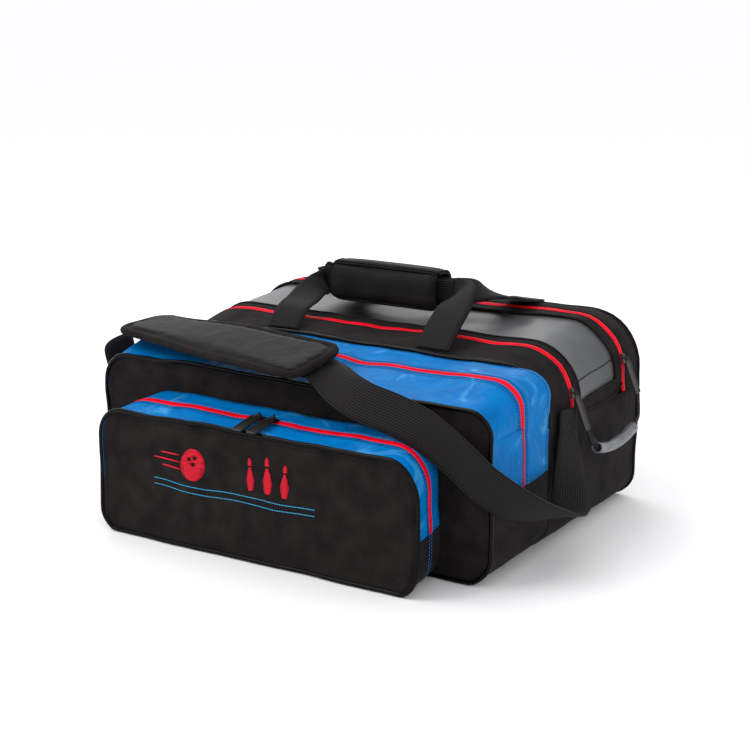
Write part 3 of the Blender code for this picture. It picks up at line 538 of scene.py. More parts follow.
# %% Bars for piping and bindings
def round_bar(name, points, radius, sides=8, closed=False, flat=1.0):
    """A bar of round section along a line; flat squeezes it towards the line's own plane."""
    count = len(points)
    middle = sum(points, Vector()) / count
    verts, uvs, faces = [], [], []
    along = 0.0
    normal = None
    for i, point in enumerate(points):
        before = points[(i - 1) % count] if closed or i else point
        after = points[(i + 1) % count] if closed or i + 1 < count else point
        ahead = (after - before).normalized()
        if normal is None:
            normal = (middle - point).cross(ahead)
            if normal.length < 1e-6:
                normal = ahead.orthogonal()
        normal = (normal - normal.dot(ahead) * ahead).normalized()
        other = ahead.cross(normal)
        along += (point - before).length if i else 0.0
        for k in range(sides):
            a = 2 * math.pi * k / sides
            verts.append(point + radius * (flat * math.cos(a) * normal + math.sin(a) * other))
            uvs.append((along, radius * a))
    for i in range(count if closed else count - 1):
        for k in range(sides):
            a, b = i * sides + k, i * sides + (k + 1) % sides
            c, d = (b + sides) % (count * sides), (a + sides) % (count * sides)
            faces.append((a, b, c, d))
    if not closed:
        faces.append(tuple(reversed(range(sides))))
        faces.append(tuple(range((count - 1) * sides, count * sides)))
    return mesh_from(name, verts, faces, uvs)


print("bars get one too")


# %% Fixing a piece to its body
def fit(obj, material, body, nodes=(), blend=None):
    """Give a piece its finish, hide the frame's solids that it stands for, and put it on its body; with a
    bend, the piece is fixed where it lies instead.
    """
    obj.data.materials.clear()
    obj.data.materials.append(material)
    if nodes:
        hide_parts(*nodes)
    if blend:
        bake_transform(obj)
    else:
        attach(obj, body)
    return obj


print("makers ready")

# %% [markdown]
# ## The outlines
# Each compartment is a tube of cloth with rounded corners, lofted from front to rear while its top rises.
# The numbers are the bag's own, the same as the solid model's.

# %% Outlines and top profiles
BALL_TOP = ((BALL_FRONT, 0.218), (0.036, 0.228), (0.110, 0.237), (0.205, 0.242), (REAR, 0.236))
SHOE_TOP = ((SHOE_FRONT, 0.200), (-0.088, 0.2195), (BALL_FRONT, 0.2165))
ACCESSORY_TOP = ((FRONT, 0.153), (-0.1925, 0.1605), (SHOE_FRONT, 0.166))
ACCESSORY_ZIP, SHOE_ZIP, LID_FRONT_ZIP, LID_REAR_ZIP = -0.1925, -0.088, 0.040, 0.183
LID_LOW, SHOE_HINGE, SHOE_BLUE_LOW, ACCESSORY_HINGE = 0.150, 0.1685, 0.100, 0.065
TAPE_WIDTH, CLOTH, TAPE = 0.0042, 0.0028, 0.0012


def top_at(profile, y):
    """The height of a compartment's top at a depth."""
    for (y0, z0), (y1, z1) in zip(profile, profile[1:]):
        if y <= y1:
            return z0 + (z1 - z0) * (y - y0) / (y1 - y0)
    return profile[-1][1]


def arc(x, z, radius, start, end, steps=10):
    """Points on an arc between two angles in degrees."""
    angles = [math.radians(start + (end - start) * i / steps) for i in range(steps + 1)]
    return [(x + radius * math.cos(a), z + radius * math.sin(a)) for a in angles]


def stretch(a, b, steps):
    """Evenly spaced points from a towards b, without b."""
    return [(a[0] + (b[0] - a[0]) * i / steps, a[1] + (b[1] - a[1]) * i / steps) for i in range(steps)]


def over(left, right, height, radius, low, steps=8, across=56):
    """Up the left side from low, over the top and down the right side."""
    rise = height - radius
    line = stretch((left, low), (left, rise), steps)
    line += arc(left + radius, rise, radius, 180, 90)
    line += stretch((left + radius, height), (right - radius, height), across)[1:]
    line += arc(right - radius, rise, radius, 90, 0)
    line += stretch((right, rise), (right, low), steps)[1:] + [(right, low)]
    return line


def under(left, right, radius, high, steps=12, across=30):
    """Down the right side from high, under the bottom and up the left side."""
    line = stretch((right, high), (right, radius), steps)
    line += arc(right - radius, radius, radius, 0, -90)
    line += stretch((right - radius, 0.0), (left + radius, 0.0), across)[1:]
    line += arc(left + radius, radius, radius, -90, -180)
    line += stretch((left, radius), (left, high), steps)[1:] + [(left, high)]
    return line


print("the ball compartment rises", round(1000 * (top_at(BALL_TOP, REAR) - BALL_TOP[0][1])), "mm to the rear")


# %% The outline of each compartment
def ball_over(y, low=LID_LOW, lift=0.0):
    """The ball compartment's outline, over the top."""
    side = HALF_LENGTH + lift
    return over(-side, side, top_at(BALL_TOP, y) + lift, 0.065 + lift, low, steps=4)


def shoe_over(y, low=SHOE_HINGE):
    """The shoe pocket's outline, over the top."""
    return over(-HALF_LENGTH, HALF_LENGTH, top_at(SHOE_TOP, y), 0.030, low)


def blue_over(y):
    """The shoe pocket's outline down to the end of its blue cloth."""
    return shoe_over(y, SHOE_BLUE_LOW)


def shoe_under(y):
    """The shoe pocket's outline, under the bottom."""
    return under(-HALF_LENGTH, HALF_LENGTH, 0.038, SHOE_BLUE_LOW)


def accessory_sides(y):
    """The accessory pocket's left, right and corner radius: it narrows towards the rear."""
    inset = 0.012 * (y - FRONT) / (SHOE_FRONT - FRONT)
    return -0.223 + inset, 0.220 - inset, 0.038 + inset


def accessory_over(y, low=ACCESSORY_HINGE):
    """The accessory pocket's outline, over the top."""
    left, right, radius = accessory_sides(y)
    return over(left, right, top_at(ACCESSORY_TOP, y), radius, low)


def accessory_under(y, high=ACCESSORY_HINGE):
    """The accessory pocket's outline, under the bottom."""
    left, right, radius = accessory_sides(y)
    return under(left, right, 0.030, high)


def depths(start, end, spacing=0.007):
    """Evenly spaced depths from start to end."""
    steps = max(2, round(abs(end - start) / spacing))
    return [start + (end - start) * i / steps for i in range(steps + 1)]


def loft(outline, start, end, spacing=0.007):
    """Slumped rows of points through an outline's shape at several depths."""
    return [[slump((x, y, z)) for x, z in outline(y)] for y in depths(start, end, spacing)]


print("the lid's zip is", round(sum(
    math.dist(a, b) for a, b in zip(ball_over(LID_FRONT_ZIP), ball_over(LID_FRONT_ZIP)[1:])
), 3), "m long")

# %% [markdown]
# ## Gussets, bands and zip tapes
# These strips run round the compartments between the upright panels. A pocket's front half folds forward
# with its flap; the cloth there is fixed where it lies, on neither the bag nor the flap.

# %% Bodies of the two flaps, and where their cloth bends
ACCESSORY_BEND = ("accessory_flap", (0.0, FRONT, 0.067), (0.0, FRONT, 0.098))
SHOE_BEND = ("shoe_flap", (0.0, SHOE_FRONT, 0.169), (0.0, SHOE_FRONT, 0.186))
LID_BEND = ("lid", (-0.270, 0.1115, 0.150), (-0.264, 0.1115, 0.166))
HALF_GAP = 0.0002


def zip_halves(zip_y):
    """Front and rear edges of a zip's two tapes."""
    return zip_y - HALF_GAP - TAPE_WIDTH, zip_y - HALF_GAP, zip_y + HALF_GAP, zip_y + HALF_GAP + TAPE_WIDTH


acc_a, acc_b, acc_c, acc_d = zip_halves(ACCESSORY_ZIP)
shoe_a, shoe_b, shoe_c, shoe_d = zip_halves(SHOE_ZIP)
front_a, front_b, front_c, front_d = zip_halves(LID_FRONT_ZIP)
rear_a, rear_b, rear_c, rear_d = zip_halves(LID_REAR_ZIP)


def end_wall(side):
    """The ball compartment's end, from the lid's edge down to the floor."""
    line = [(side * HALF_LENGTH, LID_LOW - 0.0006)]
    line = stretch(line[0], (side * HALF_LENGTH, 0.036), 16)
    line += arc(side * 0.234, 0.036, 0.036, 0 if side > 0 else 180, -90 if side > 0 else 270)
    return line if side > 0 else line[::-1]


def flat_floor(y):
    """The ball compartment's flat bottom."""
    return stretch((0.234, 0.0), (-0.234, 0.0), 30) + [(-0.234, 0.0)]


def side_strip(side):
    """The shoe pocket's side between its blue edge and the fold of its flap."""
    line = stretch((side * HALF_LENGTH, SHOE_HINGE), (side * HALF_LENGTH, SHOE_BLUE_LOW), 9)
    line.append((side * HALF_LENGTH, SHOE_BLUE_LOW))
    return line if side > 0 else line[::-1]


print("each tape is", round(1000 * (acc_b - acc_a), 1), "mm wide")

# %% The strips
STRIPS = [
    # node, outline, front, rear, thickness, cloth, bend
    ("main_front_gusset", ball_over, BALL_FRONT, front_a, CLOTH, "cloth", None),
    ("main_rear_gusset", ball_over, rear_d, REAR, CLOTH, "cloth", None),
    ("main_right_end_panel", lambda y: end_wall(1), BALL_FRONT, REAR, CLOTH, "cloth", None),
    ("main_left_end_panel", lambda y: end_wall(-1), BALL_FRONT, REAR, CLOTH, "cloth", None),
    ("main_bottom_panel", flat_floor, BALL_FRONT, REAR, CLOTH, "cloth", None),
    ("lid_front_zip_bag_tape", ball_over, front_a, front_b, TAPE, "tape", None),
    ("lid_rear_zip_bag_tape", ball_over, rear_c, rear_d, TAPE, "tape", None),
    ("lid_front_zip_lid_tape", ball_over, front_c, front_d, TAPE, "tape", LID_BEND),
    ("lid_rear_zip_lid_tape", ball_over, rear_a, rear_b, TAPE, "tape", LID_BEND),
    ("shoe_pocket_rear_gusset", blue_over, shoe_d, BALL_FRONT, CLOTH, "blue", None),
    ("shoe_zip_bag_tape", blue_over, shoe_c, shoe_d, TAPE, "tape", None),
    ("shoe_flap_gusset", shoe_over, SHOE_FRONT, shoe_a, CLOTH, "blue", SHOE_BEND),
    ("shoe_zip_flap_tape", shoe_over, shoe_a, shoe_b, TAPE, "tape", SHOE_BEND),
    ("shoe_right_side_strip", lambda y: side_strip(1), SHOE_FRONT, shoe_b, CLOTH, "blue", None),
    ("shoe_left_side_strip", lambda y: side_strip(-1), SHOE_FRONT, shoe_b, CLOTH, "blue", None),
    ("shoe_pocket_lower_band", shoe_under, SHOE_FRONT, BALL_FRONT, CLOTH, "cloth", None),
    ("accessory_pocket_rear_gusset", accessory_over, acc_d, -0.1612, CLOTH, "blue", None),
    ("accessory_zip_bag_tape", accessory_over, acc_c, acc_d, TAPE, "tape", None),
    ("accessory_flap_gusset", accessory_over, FRONT, acc_a, CLOTH, "blue", ACCESSORY_BEND),
    ("accessory_zip_flap_tape", accessory_over, acc_a, acc_b, TAPE, "tape", ACCESSORY_BEND),
    ("accessory_pocket_lower_band", accessory_under, FRONT, -0.1612, CLOTH, "cloth", None),
]
CLOTHS = {
    "cloth": (polyester, "black_polyester"),
    "blue": (coated_blue, "blue_tarpaulin"),
    "tape": (zip_tape, "red_zip"),
}
for node, outline, start, end, thickness, kind, bend in STRIPS:
    strip = sheet(node + "_cloth", loft(outline, start, end), thickness)
    material, slot = CLOTHS[kind]
    fit(strip, material, "bag_body", (node,), bend)
print(len(STRIPS), "strips of cloth")

# %% [markdown]
# ## Upright panels
# A panel is cut to the compartment's outline. Rows of points run across it at each height and shorten in
# the rounded corners, so its edge follows the outline exactly. The front of each pocket is one piece of
# cloth over both the pocket and its flap.


# %% Panels
def panel_rows(left, right, high, low_radius, top_radius, y, low=0.0, columns=48):
    """Rows across a rounded rectangle at a depth, from the bottom up."""
    heights = [low + low_radius * (1 - math.cos(math.radians(9 * i))) for i in range(11)]
    straight = high - top_radius - low - low_radius
    heights += [low + low_radius + straight * i / 16 for i in range(1, 17)]
    heights += [high - top_radius * (1 - math.sin(math.radians(9 * i))) for i in range(1, 11)]
    rows = []
    for z in heights:
        inset = 0.0
        if z < low + low_radius:
            inset = low_radius - math.sqrt(max(low_radius**2 - (low + low_radius - z) ** 2, 0.0))
        if z > high - top_radius:
            inset = top_radius - math.sqrt(max(top_radius**2 - (z - high + top_radius) ** 2, 0.0))
        a, b = left + inset, right - inset
        rows.append([slump((a + (b - a) * i / columns, y, z)) for i in range(columns + 1)])
    return rows


PANELS = [
    # name, left, right, top, lower corner radius, upper corner radius, depth, solids, bend
    ("main_front", -HALF_LENGTH, HALF_LENGTH, 0.218, 0.036, 0.065, BALL_FRONT, ("main_front_panel",), None),
    ("shoe_pocket_front", -HALF_LENGTH, HALF_LENGTH, 0.200, 0.038, 0.030, SHOE_FRONT,
     ("shoe_pocket_front_panel", "shoe_flap_panel"), SHOE_BEND),
    ("accessory_pocket_front", -0.223, 0.220, 0.153, 0.030, 0.038, FRONT,
     ("accessory_pocket_front_panel", "accessory_flap_panel"), ACCESSORY_BEND),
]
for name, left, right, high, low_radius, top_radius, y, nodes, bend in PANELS:
    rows = panel_rows(left, right, high, low_radius, top_radius, y)
    fit(sheet(name + "_cloth", rows, CLOTH), polyester, "bag_body", nodes, bend)
rear_rows = panel_rows(-HALF_LENGTH, HALF_LENGTH, 0.236, 0.036, 0.065, REAR)
rear_panel = sheet("main_rear_cloth", [row[::-1] for row in rear_rows], CLOTH)
fit(rear_panel, polyester, "bag_body", ("main_rear_panel",))
print(len(PANELS) + 1, "panels")

# %% [markdown]
# ## Piping
# A cord of black vinyl is sewn into the seam along each upright panel's edge. It covers the corner where
# panel and gusset meet.

# %% Piping along the panels' edges
PIPING_RADIUS = 0.0027


def edge(left, right, high, low_radius, top_radius, y):
    """The closed edge of a panel, slumped with it."""
    middle = high - top_radius
    line = over(left, right, high, top_radius, middle - 0.02, steps=2)
    line += under(left, right, low_radius, middle - 0.022)
    points = [slump((x, y, z)) for x, z in line]
    for point in points:
        point.z = max(point.z, PIPING_RADIUS)
    return points


PIPINGS = [
    ("shoe_pocket_piping", PANELS[1], ("shoe_pocket_piping", "shoe_flap_piping")),
    ("accessory_pocket_piping", PANELS[2], ("accessory_pocket_piping", "accessory_flap_piping")),
]
for name, (_, left, right, high, low_radius, top_radius, y, _, bend), nodes in PIPINGS:
    line = edge(left, right, high, low_radius, top_radius, y)
    bar = round_bar(name + "_cord", line, PIPING_RADIUS, 10, True)
    fit(bar, finishes["extruded_vinyl_piping"], "bag_body", nodes, bend)
rear_line = edge(-HALF_LENGTH, HALF_LENGTH, 0.236, 0.036, 0.065, REAR)
rear_bar = round_bar("main_rear_piping_cord", rear_line, PIPING_RADIUS, 10, True)
fit(rear_bar, finishes["extruded_vinyl_piping"], "bag_body", ("main_rear_piping",))
front_line = [slump((x, BALL_FRONT, z)) for x, z in ball_over(BALL_FRONT, 0.150)]
front_bar = round_bar("main_front_piping_cord", front_line, PIPING_RADIUS, 10)
fit(front_bar, finishes["extruded_vinyl_piping"], "bag_body", ("main_front_piping",))
print("piping on four edges")

# %% [markdown]
# ## The lid
# The lid is a clear window in a frame of black cloth. Its right end is a rounded tongue that the two
# sliders run down beside. The window is cut out of the frame's grid, and a soft fold of binding covers
# the cut. The window's film lies just under the frame and sags a little.

# %% Lid frame and window
LID_FRONT, LID_REAR = front_d, rear_a
LID_MIDDLE = (LID_FRONT + LID_REAR) / 2
WINDOW_FRONT, WINDOW_REAR = 0.060, 0.160


def tongue(y, low):
    """How low the lid reaches at a depth: its ends are rounded."""
    return low + 0.010 * abs((y - LID_MIDDLE) / ((LID_REAR - LID_FRONT) / 2)) ** 5


lid_depths = depths(LID_FRONT, WINDOW_FRONT, 0.004) + depths(WINDOW_FRONT, WINDOW_REAR, 0.007)[1:]
lid_depths += depths(WINDOW_REAR, LID_REAR, 0.004)[1:]
lid_rows = []
for y in lid_depths:
    high = top_at(BALL_TOP, y)
    line = over(-HALF_LENGTH, HALF_LENGTH, high, 0.065, tongue(y, LID_LOW), steps=4)
    lid_rows.append([slump((x, y, z)) for x, z in line])
last = len(lid_rows[0]) - 1


def in_window(i, j):
    """Whether a face of the lid's grid belongs to the window's opening."""
    return WINDOW_FRONT - 1e-6 < lid_depths[j] < WINDOW_REAR - 1e-6 and 3 <= i < last - 3


frame_cloth = sheet("lid_frame_cloth", lid_rows, 0.0022, in_window)
fit(frame_cloth, polyester, "bag_body", ("lid_border",), LID_BEND)


print("the lid has", len(lid_rows), "rows")


# %% The window's film
def film_point(x, y, z):
    """The film lies under the frame's cloth and ripples where nothing holds it."""
    loose = hump(y, 0.110, 0.050) * ease((0.262 - abs(x)) / 0.05)
    ripple = 0.0022 * noise.noise(Vector((x * 17, y * 21, 3.0))) - 0.0016
    return slump((x, y, z)) + Vector((0, 0, loose * ripple))


film_rows = []
for y in depths(0.054, 0.166, 0.006):
    line = ball_over(y, 0.155, -0.0026)
    film_rows.append([film_point(x, y, z) for x, z in line])
film = sheet("lid_window_film", film_rows, 0.0009)
fit(film, finishes["calendered_clear_vinyl"], "bag_body", ("lid_window",), LID_BEND)
# the film's two halves are joined across its right end, low on the side
SEAM_COLUMN, SEAM_LIFT = -7, Vector((0.0004, 0, 0))
film_seam = round_bar("lid_window_seam", [row[SEAM_COLUMN] + SEAM_LIFT for row in film_rows], 0.0006, 6)
fit(film_seam, finishes["black_polyester_thread"], "lid")
print("the film has", len(film_rows), "rows")

# %% Binding round the window and the lid's ends
grid_index = [j for j, y in enumerate(lid_depths) if WINDOW_FRONT - 1e-6 < y < WINDOW_REAR + 1e-6]
first_row, last_row = lid_rows[grid_index[0]], lid_rows[grid_index[-1]]
window_edge = first_row[3 : last - 2] + [lid_rows[j][last - 3] for j in grid_index[1:-1]]
window_edge += last_row[3 : last - 2][::-1] + [lid_rows[j][3] for j in grid_index[1:-1]][::-1]
BINDING_RADIUS = 0.0016
binding = round_bar("window_binding", window_edge, BINDING_RADIUS, 8, True)
fit(binding, polyester, "bag_body", (), LID_BEND)
for name, index in (("left", 0), ("right", last)):
    end_edge = [row[index] for row in lid_rows]
    binding = round_bar("lid_" + name + "_binding", end_edge, BINDING_RADIUS, 8)
    fit(binding, polyester, "bag_body" if index == 0 else "lid")
print("the window's binding goes through", len(window_edge), "points")

# %% [markdown]
# ## Rows of teeth and stitches
# A zip's coil and a seam's stitches are one small shape repeated along a line. Geometry Nodes walks each
# line at a set pitch, turns the shape along the line and away from the cloth, and realises the copies.


# %% The node tree for a row
def row_tree(name, shape):
    """A tree that repeats a bead or a block along every line of a mesh that has an "up" direction."""
    tree = bpy.data.node_groups.new(name, "GeometryNodeTree")
    face = tree.interface
    face.new_socket("Geometry", in_out="INPUT", socket_type="NodeSocketGeometry")
    for label in ("Pitch", "Length", "Width", "Height", "Wobble"):
        face.new_socket(label, in_out="INPUT", socket_type="NodeSocketFloat")
    face.new_socket("Seed", in_out="INPUT", socket_type="NodeSocketInt")
    face.new_socket("Material", in_out="INPUT", socket_type="NodeSocketMaterial")
    face.new_socket("Geometry", in_out="OUTPUT", socket_type="NodeSocketGeometry")
    given = add(tree, "NodeGroupInput").outputs
    lines = add(tree, "GeometryNodeMeshToCurve", {"Mesh": given["Geometry"]})
    spots = add(
        tree,
        "GeometryNodeCurveToPoints",
        {"Curve": lines.outputs["Curve"], "Length": given["Pitch"]},
        mode="LENGTH",
    )
    up = add(tree, "GeometryNodeInputNamedAttribute", {"Name": "up"}, data_type="FLOAT_VECTOR")
    turn = add(
        tree,
        "FunctionNodeAxesToRotation",
        {0: spots.outputs["Tangent"], 1: up.outputs["Attribute"]},
        primary_axis="X",
        secondary_axis="Z",
    )
    least = add(tree, "ShaderNodeMath", {0: given["Wobble"], 1: -1.0}, operation="MULTIPLY")
    chance = add(tree, "FunctionNodeRandomValue", {"Seed": given["Seed"]}, data_type="FLOAT")
    low, high = [s for s in chance.inputs if s.enabled and s.name in ("Min", "Max")]
    tree.links.new(least.outputs[0], low)
    tree.links.new(given["Wobble"], high)
    yaw = add(tree, "ShaderNodeCombineXYZ", {"Z": next(s for s in chance.outputs if s.enabled)})
    twist = add(tree, "FunctionNodeEulerToRotation", {0: yaw.outputs[0]})
    turned = add(
        tree,
        "FunctionNodeRotateRotation",
        {0: turn.outputs[0], 1: twist.outputs[0]},
        rotation_space="LOCAL",
    )
    size = add(
        tree,
        "ShaderNodeCombineXYZ",
        {"X": given["Length"], "Y": given["Width"], "Z": given["Height"]},
    )
    if shape == "bead":
        solid = add(tree, "GeometryNodeMeshUVSphere", {"Segments": 6, "Rings": 4, "Radius": 0.5})
    else:
        solid = add(tree, "GeometryNodeMeshCube", {"Size": (1.0, 1.0, 1.0)})
    sized = add(tree, "GeometryNodeTransform", {"Geometry": solid.outputs["Mesh"], "Scale": size.outputs[0]})
    copies = add(
        tree,
        "GeometryNodeInstanceOnPoints",
        {
            "Points": spots.outputs["Points"],
            "Instance": sized.outputs["Geometry"],
            "Rotation": turned.outputs[0],
        },
    )
    real = add(tree, "GeometryNodeRealizeInstances", {"Geometry": copies.outputs["Instances"]})
    painted = add(
        tree,
        "GeometryNodeSetMaterial",
        {"Geometry": real.outputs["Geometry"], "Material": given["Material"]},
    )
    add(tree, "NodeGroupOutput", {"Geometry": painted.outputs["Geometry"]})
    return tree


# %% Rows as plain meshes
stitch_tree = row_tree("stitch_row", "bead")
tooth_tree = row_tree("zip_tooth_row", "block")


def row_of(name, lines, tree, sizes, material):
    """One plain mesh with the tree's shape repeated along every (points, ups) line."""
    points, ups, edges = [], [], []
    for line, normals in lines:
        edges += [(len(points) + i, len(points) + i + 1) for i in range(len(line) - 1)]
        points += [tuple(p) for p in line]
        ups += [component for normal in normals for component in normal]
    mesh = bpy.data.meshes.new(name + "_lines")
    mesh.from_pydata(points, edges, [])
    mesh.attributes.new("up", "FLOAT_VECTOR", "POINT").data.foreach_set("vector", ups)
    source = bpy.data.objects.new(name + "_lines", mesh)
    bpy.context.scene.collection.objects.link(source)
    rows = source.modifiers.new("rows", "NODES")
    rows.node_group = tree
    sockets = {s.name: s.identifier for s in tree.interface.items_tree if s.in_out == "INPUT"}
    for label, value in {**sizes, "Seed": 7, "Material": material}.items():
        rows[sockets[label]] = value
    evaluated = source.evaluated_get(bpy.context.evaluated_depsgraph_get())
    made = bpy.data.objects.new(name, bpy.data.meshes.new_from_object(evaluated))
    bpy.context.scene.collection.objects.link(made)
    bpy.data.objects.remove(source)
    if "up" in made.data.attributes:
        made.data.attributes.remove(made.data.attributes["up"])
    return made


def sew(name, lines, sizes, thread, body, bend=None):
    """Rows of stitches, smoothed and put on the body that their cloth rides on, or fixed where they lie when
    a bend is given.
    """
    row = row_of(name, lines, stitch_tree, sizes, thread)
    row.data.shade_smooth()
    fit(row, thread, body, (), bend)


print("row trees:", stitch_tree.name, tooth_tree.name)


# %% Lines that follow an outline
def rim(outline, y, lift=0.0003, first=0, last=None):
    """A line on the cloth at a depth, with the way out of the cloth at each of its points."""
    flat_line = outline(y)[first:last]
    points, ups = [], []
    for i, (x, z) in enumerate(flat_line):
        a, b = flat_line[max(i - 1, 0)], flat_line[min(i + 1, len(flat_line) - 1)]
        along = Vector((b[0] - a[0], b[1] - a[1])).normalized()
        up = Vector((-along.y, 0.0, along.x))
        points.append(slump((x, y, z)) + lift * up)
        ups.append(up)
    return points, ups


zip_ups = rim(ball_over, LID_FRONT_ZIP)[1]
print("the middle of the lid's zip faces", zip_ups[len(zip_ups) // 2])

# %% Teeth of the four zips
TOOTH_INSET = 0.0011
TEETH = [
    # name, outline, depth, bend
    ("accessory_flap_teeth", accessory_over, ACCESSORY_ZIP - TOOTH_INSET, ACCESSORY_BEND),
    ("accessory_bag_teeth", accessory_over, ACCESSORY_ZIP + TOOTH_INSET, None),
    ("shoe_flap_teeth", shoe_over, SHOE_ZIP - TOOTH_INSET, SHOE_BEND),
    ("shoe_bag_teeth", blue_over, SHOE_ZIP + TOOTH_INSET, None),
    ("lid_front_bag_teeth", ball_over, LID_FRONT_ZIP - TOOTH_INSET, None),
    ("lid_front_lid_teeth", ball_over, LID_FRONT_ZIP + TOOTH_INSET, LID_BEND),
    ("lid_rear_lid_teeth", ball_over, LID_REAR_ZIP - TOOTH_INSET, LID_BEND),
    ("lid_rear_bag_teeth", ball_over, LID_REAR_ZIP + TOOTH_INSET, None),
]
TOOTH = {"Pitch": 0.0022, "Length": 0.0013, "Width": 0.0018, "Height": 0.0011, "Wobble": 0.0}
for name, outline, y, bend in TEETH:
    teeth = row_of(name, [rim(outline, y, 0.0002)], tooth_tree, TOOTH, zip_tape)
    fit(teeth, zip_tape, "bag_body", (), bend)
    print(name, len(teeth.data.polygons) // 6, "teeth")

# %% Rows of stitches beside the zips and along the edges
NEAR, FAR = 0.0026, 0.0062
STITCH = {"Pitch": 0.0040, "Length": 0.0032, "Width": 0.0010, "Height": 0.0007, "Wobble": 0.06}
SIDE_POINTS = 16


def side_rims(y):
    """The accessory pocket's seam carried on down both sides of its lower band."""
    return [rim(accessory_under, y, last=SIDE_POINTS), rim(accessory_under, y, first=-SIDE_POINTS)]


blue_thread = finishes["blue_polyester_thread"]
deep_thread = finishes["deep_blue_polyester_thread"]
black_thread = finishes["black_polyester_thread"]
SEAMS = [
    ("accessory_flap_topstitch", deep_thread, ACCESSORY_BEND, [
        rim(accessory_over, acc_a - NEAR), rim(accessory_over, acc_a - FAR),
    ]),
    ("accessory_bag_topstitch", deep_thread, None, [
        rim(accessory_over, acc_d + NEAR), rim(accessory_over, acc_d + FAR),
    ]),
    ("accessory_side_topstitch", blue_thread, None, side_rims(acc_a + 0.001) + side_rims(acc_d - 0.001)),
    ("shoe_flap_topstitch", deep_thread, SHOE_BEND, [
        rim(shoe_over, shoe_a - NEAR), rim(shoe_over, shoe_a - FAR),
    ]),
    ("shoe_bag_topstitch", deep_thread, None, [
        rim(blue_over, shoe_d + NEAR), rim(blue_over, shoe_d + FAR), rim(blue_over, BALL_FRONT - 0.006),
    ]),
    ("ball_gusset_topstitch", black_thread, None, [
        rim(ball_over, front_a - NEAR), rim(ball_over, BALL_FRONT + 0.007),
        rim(ball_over, rear_d + NEAR), rim(ball_over, REAR - 0.007),
    ]),
    ("lid_topstitch", black_thread, LID_BEND, [
        rim(ball_over, LID_FRONT + NEAR), rim(ball_over, LID_REAR - NEAR),
        rim(ball_over, WINDOW_FRONT - 0.0045, first=1, last=-1),
        rim(ball_over, WINDOW_REAR + 0.0045, first=1, last=-1),
    ]),
]
for name, thread, bend, lines in SEAMS:
    slot = "black_polyester" if thread is black_thread else "blue_tarpaulin"
    sew(name, lines, STITCH, thread, "bag_body", bend)
    print(name, len(lines), "rows")

# %% Stitches just inside the edges of the front panels
for name, (_, left, right, high, low_radius, top_radius, y, _, bend) in zip(
    ("shoe_panel_stitch", "accessory_panel_stitch"), PANELS[1:]
):
    inset = 0.0075
    line = edge(left + inset, right - inset, high - inset, low_radius, top_radius - 0.004, y)
    line = [p + Vector((0, -0.0004, inset if p.z < 0.004 else 0)) for p in line]
    facing = [Vector((0, -1, 0))] * len(line)
    sew(name, [(line, facing)], STITCH, black_thread, "bag_body", bend)
print("edge stitches on two panels")

# %% [markdown]
# ## Webbing: carry handles and shoulder strap
# Webbing is a flat strap that stays square to its own direction. Each strap is a smooth path through a
# few stations, each with its way across and its width, so it can turn on edge where the grip gathers it.


# %% Straps
def smooth_path(stations, steps):
    """Points of a smooth path through (centre, across, width) stations."""
    ends = [stations[0]] + list(stations) + [stations[-1]]
    made = []
    for a, b, c, d in zip(ends, ends[1:], ends[2:], ends[3:]):
        for i in range(steps):
            t = i / steps
            weights = (
                -t / 2 + t * t - t**3 / 2,
                1 - 2.5 * t * t + 1.5 * t**3,
                t / 2 + 2 * t * t - 1.5 * t**3,
                -t * t / 2 + t**3 / 2,
            )
            centre = sum((w * Vector(s[0]) for w, s in zip(weights, (a, b, c, d))), Vector())
            across = (1 - t) * Vector(b[1]).normalized() + t * Vector(c[1]).normalized()
            made.append((centre, across, (1 - t) * b[2] + t * c[2]))
    made.append((Vector(stations[-1][0]), Vector(stations[-1][1]), stations[-1][2]))
    return made


def strap(name, stations, thickness, steps=8, columns=6):
    """A strap of webbing, and the two lines of stitches along its edges on each face."""
    path = smooth_path(stations, steps)
    rows, lines = [], {(side, face): ([], []) for side in (-1, 1) for face in (-1, 1)}
    for i, (centre, across, width) in enumerate(path):
        ahead = (path[min(i + 1, len(path) - 1)][0] - path[max(i - 1, 0)][0]).normalized()
        side = (across - across.dot(ahead) * ahead).normalized()
        up = side.cross(ahead)
        rows.append([centre + side * width * (c / columns - 0.5) for c in range(columns + 1)])
        for (edge_side, face), (points, ups) in lines.items():
            points.append(centre + side * width * 0.42 * edge_side + up * face * (thickness / 2 + 0.0001))
            ups.append(up * face)
    length = sum((b[0] - a[0]).length for a, b in zip(path, path[1:]))
    print(name, "is", round(length, 3), "m long")
    return sheet(name, rows, thickness, offset=0.0), list(lines.values())


print("a strap is a path with a width at each station")

# %% The two carry handles
# widths of the webbing where it is flat, where it starts to gather, and inside the grip
FULL, SOFT, GRIPPED, WEBBING = 0.046, 0.040, 0.030, 0.0024
front_loop = [
    ((-0.105, -0.0135, 0.2225), (1, 0, 0), FULL),
    ((-0.106, 0.010, 0.243), (1, 0, 0), FULL),
    ((-0.110, 0.040, 0.250), (1, -0.05, -0.05), FULL),
    ((-0.113, 0.064, 0.257), (0.95, -0.1, -0.25), SOFT),
    ((-0.110, 0.086, 0.263), (0.5, -0.4, -0.75), 0.034),
    ((-0.100, 0.096, 0.268), (0, 0, -1), GRIPPED),
    ((0.062, 0.096, 0.268), (0, 0, -1), GRIPPED),
    ((0.082, 0.092, 0.270), (-0.5, 0.3, -0.75), 0.034),
    ((0.101, 0.072, 0.274), (-0.85, 0.1, -0.4), SOFT),
    ((0.110, 0.040, 0.263), (-1, 0, -0.05), FULL),
    ((0.111, 0.010, 0.243), (-1, 0, 0), FULL),
    ((0.111, -0.0135, 0.2225), (-1, 0, 0), FULL),
]
